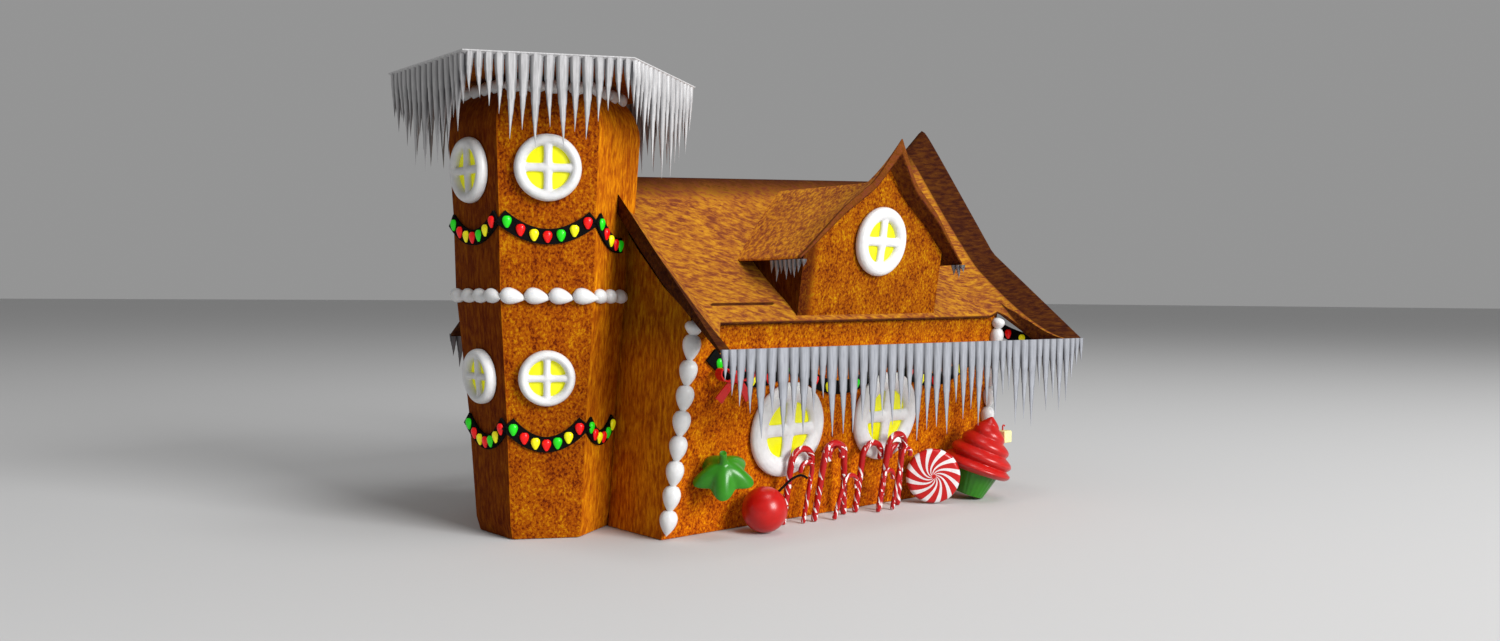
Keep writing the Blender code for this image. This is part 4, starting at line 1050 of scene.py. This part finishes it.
def turret_swag(degrees, start, end, sag):
    """A swag on one face of the turret from (s, z) to (s, z)."""
    def place_at(share):
        s = start[0] + (end[0] - start[0]) * share
        z = start[1] + (end[1] - start[1]) * share - sag * 4 * share * (1 - share)
        centre, tangent, up, out = turret_face(degrees, z, 0.0004)
        return centre + tangent * s, -tangent, up, out
    return place_at


for name, node, z, sag, half, end_s, end_z, end_sag, end_bulbs in (
        ("turret_garland_high", "garland_tower_high", 0.1845, 0.0110, 0.0262, 0.0060, 0.1705, 0.005, 5),
        ("turret_garland_low", "garland_tower_low", 0.0675, 0.0125, 0.0218, 0.0125, 0.0660, 0.010, 6)):
    swags = [(turret_swag(degrees, (-half, z), (half, z), sag), 7) for degrees in (240, 180, 120)]
    swags.append((turret_swag(300, (-half, z), (end_s, end_z), end_sag), end_bulbs))
    swags.append((turret_swag(60, (half, z), (-end_s, end_z), end_sag), end_bulbs))
    hang(name, node, swags)


def wall_swag(side, start, end, sag):
    """A swag on a long wall between two (x, z) points."""
    def place_at(share):
        x = start[0] + (end[0] - start[0]) * share
        z = start[1] + (end[1] - start[1]) * share - sag * 4 * share * (1 - share)
        up = Vector((0, side * 0.158, 1)).normalized()
        right = Vector((-side, 0, 0))
        return Vector((x, side * (wall_y(z) + 0.0006), z)), right, up, right.cross(up)
    return place_at


for name, node, side in (("front_garland", "garland_front", -1), ("back_garland", "garland_back", 1)):
    swags = [(wall_swag(side, (-0.126, 0.1070), (-0.0587, 0.1010), 0.013), 5),
             (wall_swag(side, (-0.0587, 0.1010), (0.0307, 0.1030), 0.019), 7),
             (wall_swag(side, (0.0307, 0.1030), (0.125, 0.1050), 0.020), 7)]
    hang(name, node, swags)


gable_up = Vector((-0.035, 0, 1)).normalized()
gable_right = Vector((0, 1, 0))


def gable_place(share):
    """The swag on the right gable wall."""
    y = -0.080 + 0.160 * share
    z = 0.1225 - 0.022 * 4 * share * (1 - share)
    return Vector((0.147 - 0.035 * z + 0.0006, y, z)), gable_right, gable_up, gable_right.cross(gable_up)


def tip_swag(side, outward):
    """The swag from the gable wall out to a roof corner, with its bulbs on one side of the lace."""
    def place_at(share):
        y = side * (0.080 + 0.060 * share)
        z = 0.1225 - 0.0125 * share - 0.005 * 4 * share * (1 - share)
        x = 0.1433 + (0.1550 - 0.1433) * min(1.0, 7 * share)
        out = Vector((outward, 0, 0))
        return Vector((x, y, z)), Vector((0, 0, 1)).cross(out) * -1, Vector((0, 0, 1)), out
    return place_at


hang("gable_garland", "garland_gable", [(gable_place, 10), (tip_swag(-1, 1), 5), (tip_swag(-1, -1), 5),
                                        (tip_swag(1, 1), 5), (tip_swag(1, -1), 5)])

# ---------------------------------------------------------------- bows
# Red fondant ribbon folded into a bow: two loops, a knot and two cut tails, stuck at the left end of
# each wall garland.

ribbon_red = boiled_sugar("red fondant ribbon", (0.62, 0.010, 0.008))


def ribbon(verts, faces, path, widths, across_way, thick):
    """A flat ribbon along a path."""
    rings = []
    for i, point in enumerate(path):
        run = (path[min(i + 1, len(path) - 1)] - path[max(i - 1, 0)]).normalized()
        skin = run.cross(across_way).normalized()
        w = across_way * widths[i] / 2
        t = skin * thick / 2
        rings.append([point + w + t, point - w + t, point - w - t, point + w - t])
    start = len(verts)
    more_verts, more_faces = loft(rings)
    verts += more_verts
    faces += [tuple(start + k for k in face) for face in more_faces]


for name, node, side in (("front_bow", "bow_front", -1), ("back_bow", "bow_back", 1)):
    low, high = (Vector(corner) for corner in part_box(node))
    knot = Vector((-0.1115, side * (wall_y(0.0935) + 0.0088), 0.0935))
    out = Vector((0, side, 0))
    across_loop = out
    verts, faces = [], []
    for sign in (-1, 1):
        path, widths = [], []
        for i in range(25):
            t = 2 * math.pi * i / 24
            reach = 0.0066 * (1 - math.cos(t))
            path.append(knot + Vector((sign * reach, 0, 0.0046 * math.sin(t) * (0.4 + 0.6 * reach / 0.0132) + 0.22 * reach)))
            widths.append(0.0030 + 0.0024 * reach / 0.0132)
        ribbon(verts, faces, path, widths, across_loop, 0.0010)
        path = [knot + Vector((sign * (0.001 + 0.0105 * s), -side * 0.002 * s, -0.0130 * s)) for s in (0, 0.25, 0.5, 0.75, 1)]
        tail_across = Vector((sign * 0.6, 0, 0.45)).normalized()
        ribbon(verts, faces, path, [0.0036, 0.0044, 0.0050, 0.0054, 0.0058], tail_across, 0.0010)
    rings = []
    for i in range(1, 8):
        lat = math.pi * i / 8
        rings.append([knot + Vector((0.0026 * math.sin(lat) * math.cos(a), 0.0028 * math.sin(lat) * math.sin(a), 0.0034 * math.cos(lat)))
                      for a in (2 * math.pi * j / 12 for j in range(12))])
    start = len(verts)
    more_verts, more_faces = loft(rings)
    verts += more_verts
    faces += [tuple(start + k for k in face) for face in more_faces]
    put(name, verts, faces, ribbon_red, nodes=(node,))

# ---------------------------------------------------------------- candy canes
# Small red boiled-sugar canes with twisted white stripes, leaning on the front wall in two or three
# layers with their hooks turned either way.

cane_red = boiled_sugar("red cane sugar", (0.44, 0.003, 0.005))
cane_white = boiled_sugar("white cane sugar", (0.84, 0.80, 0.80))

canes = (("cane_a", -0.0620, 0.0490, 0.0175, 2.0, 0.0112, 0.0021),
         ("cane_b", -0.0490, 0.0400, -0.0100, 4.0, 0.0160, 0.0015),
         ("cane_c", -0.0395, 0.0515, 0.0150, 4.0, 0.0160, 0.0021),
         ("cane_d", -0.0260, 0.0305, 0.0120, 12.0, 0.0206, 0.0015),
         ("cane_e", -0.0078, 0.0505, -0.0140, -9.0, 0.0112, 0.0021),
         ("cane_f", 0.0031, 0.0475, 0.0175, 1.0, 0.0112, 0.0021),
         ("cane_g", 0.0150, 0.0290, 0.0095, 3.0, 0.0206, 0.0015),
         ("cane_h", 0.0209, 0.0525, 0.0160, 2.0, 0.0160, 0.0021),
         ("cane_i", 0.0290, 0.0425, 0.0080, 5.0, 0.0206, 0.0015),
         ("cane_j", 0.0448, 0.0445, -0.0120, -4.0, 0.0112, 0.0021))
for node, foot_x, height, hook, lean, layer, radius in canes:
    lean = math.radians(lean)
    bend = abs(hook) / 2
    shaft = height - bend - radius
    flat = [(0.0, shaft * i / 30) for i in range(30)]
    flat += [(math.copysign(bend * (1 - math.cos(math.pi * i / 20)), hook), shaft + bend * math.sin(math.pi * i / 20))
             for i in range(21)]
    flat += [(hook, shaft - 0.06 * bend * i) for i in range(1, 6)]
    points = []
    for x, z in flat:
        turned_z = z * math.cos(lean) - x * math.sin(lean)
        points.append(Vector((foot_x + x * math.cos(lean) + z * math.sin(lean), -(wall_y(turned_z) + layer), turned_z)))
    sides = 20
    rings = []
    travelled = 0.0
    for i, point in enumerate(points):
        run = (points[min(i + 1, len(points) - 1)] - points[max(i - 1, 0)]).normalized()
        if i:
            travelled += (point - points[i - 1]).length
        side = run.cross(Vector((0, -1, 0))).normalized()
        out = side.cross(run).normalized()
        twist = 2 * math.pi * travelled / 0.021
        round_end = 0.80 if i in (0, len(points) - 1) else 1.0
        rings.append([point + radius * round_end * (math.cos(a) * side + math.sin(a) * out)
                      for a in (2 * math.pi * j / sides + twist for j in range(sides))])
    verts, faces = loft(rings)
    lift = max(0.0, -min(v.z for v in verts))
    verts = [v + Vector((0, 0, lift)) for v in verts]
    piece = put("candy_" + node, verts, faces, (cane_red, cane_white), nodes=(node,))
    for face in piece.data.polygons:
        column = face.index % sides
        row = face.index // sides
        band = noise.noise(Vector((foot_x * 900, row * 0.42, column * 0.25)))
        stripe = column in (0, 1) or (column in (2, 7) and band > 0.05) or (column in (12, 13) and row < 20)
        face.material_index = 1 if stripe and band > -0.12 and row < len(rings) - 1 else 0

# ---------------------------------------------------------------- red ball
# A round red sugar shell with a bent black liquorice stalk.

ball_red = boiled_sugar("red sugar shell", (0.50, 0.006, 0.004))
ball_low, ball_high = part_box("cherry_ball")
ball_r = 0.0137
ball_middle = Vector((-0.0869, -0.0975, ball_r))
rings = []
for i in range(1, 32):
    lat = math.pi * i / 32
    rings.append([ball_middle + ball_r * Vector((math.sin(lat) * math.cos(a), math.sin(lat) * math.sin(a), -math.cos(lat)))
                  for a in (2 * math.pi * j / 48 for j in range(48))])
verts, faces = loft(rings)
shades = [0] * len(faces)
route = ((0.0070, -0.0035, 0.0095), (0.0120, -0.0050, 0.0140), (0.0180, -0.0060, 0.0178),
         (0.0245, -0.0060, 0.0188), (0.0300, -0.0055, 0.0165))
points = []
for i in range(len(route) - 1):
    p0, p1, p2, p3 = (Vector(route[min(max(k, 0), len(route) - 1)]) for k in (i - 1, i, i + 1, i + 2))
    for j in range(6):
        t = j / 6
        points.append(ball_middle + 0.5 * ((2 * p1) + (p2 - p0) * t + (2 * p0 - 5 * p1 + 4 * p2 - p3) * t * t
                                           + (3 * p1 - p0 - 3 * p2 + p3) * t ** 3))
points.append(ball_middle + Vector(route[-1]))
rings = []
for i, point in enumerate(points):
    run = (points[min(i + 1, len(points) - 1)] - points[max(i - 1, 0)]).normalized()
    side = run.cross(Vector((0, -1, 0))).normalized()
    out = side.cross(run).normalized()
    rings.append([point + 0.00075 * (math.cos(a) * side + math.sin(a) * out) for a in (math.pi * j / 5 for j in range(10))])
start = len(verts)
more_verts, more_faces = loft(rings)
verts += more_verts
faces += [tuple(start + k for k in face) for face in more_faces]
shades += [1] * len(more_faces)
piece = put("red_ball", verts, faces, (ball_red, lace), nodes=("cherry_ball",))
for face, shade in zip(piece.data.polygons, shades):
    face.material_index = shade

# ---------------------------------------------------------------- peppermint
# A boiled-sugar peppermint stood on edge: red and white wedges that are twisted into a swirl at the
# middle, with a thick rounded rim.

mint_red = boiled_sugar("red mint sugar", (0.50, 0.004, 0.004))
mint_white = boiled_sugar("white mint sugar", (0.76, 0.73, 0.73))
mint_r = 0.0187
mint_place = (Matrix.Translation((0.0683, -0.0985, mint_r)) @ Matrix.Rotation(math.radians(228.4), 4, "Z")
              @ Matrix.Rotation(math.radians(90), 4, "Y"))
wedges, step, wide_white = 12, 5, 4
columns = wedges * 2 * step
outline = []
for i in range(1, 15):
    share = (i / 14) ** 0.9
    outline.append((0.86 * mint_r * share, -0.0040 * (1.0 - 0.22 * share ** 2)))
for i in range(1, 10):
    turn = math.pi * i / 10
    outline.append((0.86 * mint_r + 0.14 * mint_r * math.sin(turn), -0.0031 * math.cos(turn)))
outline += [(r, -h) for r, h in reversed(outline[:14])]
rings = []
for r, h in outline:
    twist = -1.5 * math.exp(-3.2 * r / mint_r) * (1 if h < 0 else -1) + 0.35 * (1 if h < 0 else -1) * r / mint_r
    rings.append([mint_place @ Vector((r * math.cos(a), r * math.sin(a), h))
                  for a in (2 * math.pi * j / columns + twist for j in range(columns))])
verts, faces = loft(rings)
piece = put("peppermint_swirl", verts, faces, (mint_red, mint_white), nodes=("peppermint",))
for face in piece.data.polygons:
    face.material_index = 1 if (face.index % columns) % (2 * step) >= 2 * step - wide_white else 0

# ---------------------------------------------------------------- cupcake
# A little green cup with a tall swirl of red frosting, tipped against the wall, and a pale cube of
# marshmallow with a short red stalk pressed into the frosting's far side.

frosting = boiled_sugar("red frosting", (0.50, 0.009, 0.006))
cup_green = boiled_sugar("green cup", (0.030, 0.20, 0.008))
cup_lean = Matrix.Rotation(math.radians(17.0), 4, Vector((0.6643, 0.7475, 0.0)))
cup_low_r, cup_high_r, cup_height = 0.0104, 0.0158, 0.0165
corner = min((cup_lean @ Vector((cup_low_r * math.cos(t), cup_low_r * math.sin(t), 0))).z
             for t in (math.pi * k / 12 for k in range(24)))
cup_place = Matrix.Translation((0.1040, -0.1010, -corner)) @ cup_lean
rings = []
for i in range(13):
    share = i / 12
    pleat = 0.012
    radius = cup_low_r + (cup_high_r - cup_low_r) * share
    rings.append([cup_place @ Vector((radius * (1 - pleat + pleat * math.cos(24 * a)) * math.cos(a),
                                      radius * (1 - pleat + pleat * math.cos(24 * a)) * math.sin(a),
                                      (cup_height - 0.0003) * share)) for a in (2 * math.pi * j / 96 for j in range(96))])
verts, faces = loft(rings)
put("green_cup", verts, faces, cup_green, nodes=("cupcake_cup",))

swirl_r, swirl_height, swirl_turns = 0.0222, 0.0405, 4.5
rings = []
for i in range(97):
    share = i / 97
    body = 1.07 * swirl_r * (1.0 - share ** 1.5) ** 0.85 * min(1.0, 0.86 + 1.6 * share)
    ring = []
    for j in range(64):
        angle = 2 * math.pi * j / 64
        wave = math.cos(2 * math.pi * swirl_turns * share + angle)
        fold = 0.085 * (math.sqrt(0.5 + 0.5 * wave) * 2 - 1.1) * min(1.0, 6 * (1 - share))
        radius = body * (1.0 + fold)
        ring.append(cup_place @ Vector((radius * math.cos(angle), radius * math.sin(angle), cup_height + swirl_height * share)))
    rings.append(ring)
verts, faces = loft(rings)
put("red_frosting_swirl", verts, faces, frosting, sharp=80.0, nodes=("cupcake_swirl",))

marshmallow, nodes, link, shader = new_finish("cream marshmallow", 0.7, 0.3)
place = nodes.new("ShaderNodeTexCoord").outputs["Object"]
dust = grain(nodes, link, place, 900.0, 3.0)
link(ramp(nodes, link, dust, ((0.3, (0.72, 0.66, 0.26)), (0.7, (0.88, 0.83, 0.42)))), shader.inputs["Base Color"])
relief(nodes, link, shader, dust, 0.0004, 0.4)
cube_low, cube_high = (Vector(corner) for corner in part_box("marshmallow"))
side = 0.0085
cube_top = cube_low.z + side
middle = Vector((cube_high.x - side / 2, (cube_low.y + cube_high.y) / 2, cube_low.z + side / 2))
verts, faces = [], []
shape = bmesh.new()
bmesh.ops.create_cube(shape, size=side)
bmesh.ops.bevel(shape, geom=list(shape.edges), offset=0.0011, segments=3, affect="EDGES", profile=0.6)
bmesh.ops.translate(shape, verts=shape.verts, vec=middle)
verts = [v.co.copy() for v in shape.verts]
shape.verts.index_update()
faces = [tuple(v.index for v in face.verts) for face in shape.faces]
shape.free()
shades = [0] * len(faces)
stalk = [Vector((middle.x - 0.001, middle.y, cube_top)) + Vector(p)
         for p in ((0, 0, -0.001), (0, 0, 0.0015), (0, 0, 0.0030), (0.0006, 0, 0.0037), (0.0014, 0, 0.0036), (0.0022, 0, 0.0030))]
rings = []
for i, point in enumerate(stalk):
    run = (stalk[min(i + 1, len(stalk) - 1)] - stalk[max(i - 1, 0)]).normalized()
    across_way = run.cross(Vector((0, -1, 0))).normalized()
    rings.append([point + 0.00055 * (math.cos(a) * across_way + math.sin(a) * Vector((0, -1, 0)))
                  for a in (math.pi * j / 4 for j in range(8))])
start = len(verts)
more_verts, more_faces = loft(rings)
verts += more_verts
faces += [tuple(start + k for k in face) for face in more_faces]
shades += [1] * len(more_faces)
piece = put("marshmallow_cube", verts, faces, (marshmallow, ball_red), nodes=("marshmallow",))
for face, shade in zip(piece.data.polygons, shades):
    face.material_index = shade

# ---------------------------------------------------------------- green leaf crown
# A puffed five-pointed leaf crown of green fondant with a thick cut stem, iced to the wall.

leaf_green = boiled_sugar("green leaf fondant", (0.028, 0.22, 0.006))
leaf_low, leaf_high = (Vector(corner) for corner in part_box("holly_leaf"))
leaf_axis = Vector((-0.6643, -0.7475, 1.25)).normalized()
leaf_right = Vector((0.7475, -0.6643, 0))
leaf_back = leaf_axis.cross(leaf_right).normalized()
leaf_place = Matrix((leaf_right, leaf_back, leaf_axis)).transposed().to_4x4()
leaf_place.translation = Vector((-0.1190, -(wall_y(0.0410) + 0.0150), 0.0410))
rings = []
for share, height in ((0.97, -0.0063), (1.0, -0.0057), (0.98, -0.0050), (0.90, -0.0034), (0.80, -0.0016), (0.68, 0.0002),
                      (0.56, 0.0018), (0.44, 0.0031), (0.33, 0.0041), (0.24, 0.0047), (0.17, 0.0052), (0.135, 0.0060),
                      (0.125, 0.0080), (0.12, 0.0115), (0.118, 0.0128), (0.10, 0.0132), (0.05, 0.0130)):
    ring = []
    for j in range(100):
        angle = 2 * math.pi * j / 100 - 0.5 * math.pi
        point = 0.5 + 0.5 * math.cos(5 * (angle + 0.5 * math.pi))
        radius = 0.0184 * share * (1.0 - 0.30 * min(1.0, share * 1.2) * (1.0 - point ** 0.9))
        droop = -0.0014 * (share ** 3) * point
        ring.append(leaf_place @ Vector((radius * math.cos(angle), radius * math.sin(angle), height + droop)))
    rings.append(ring)
verts, faces = loft(rings)
put("green_leaf_crown", verts, faces, leaf_green, sharp=60.0, nodes=("holly_leaf",))
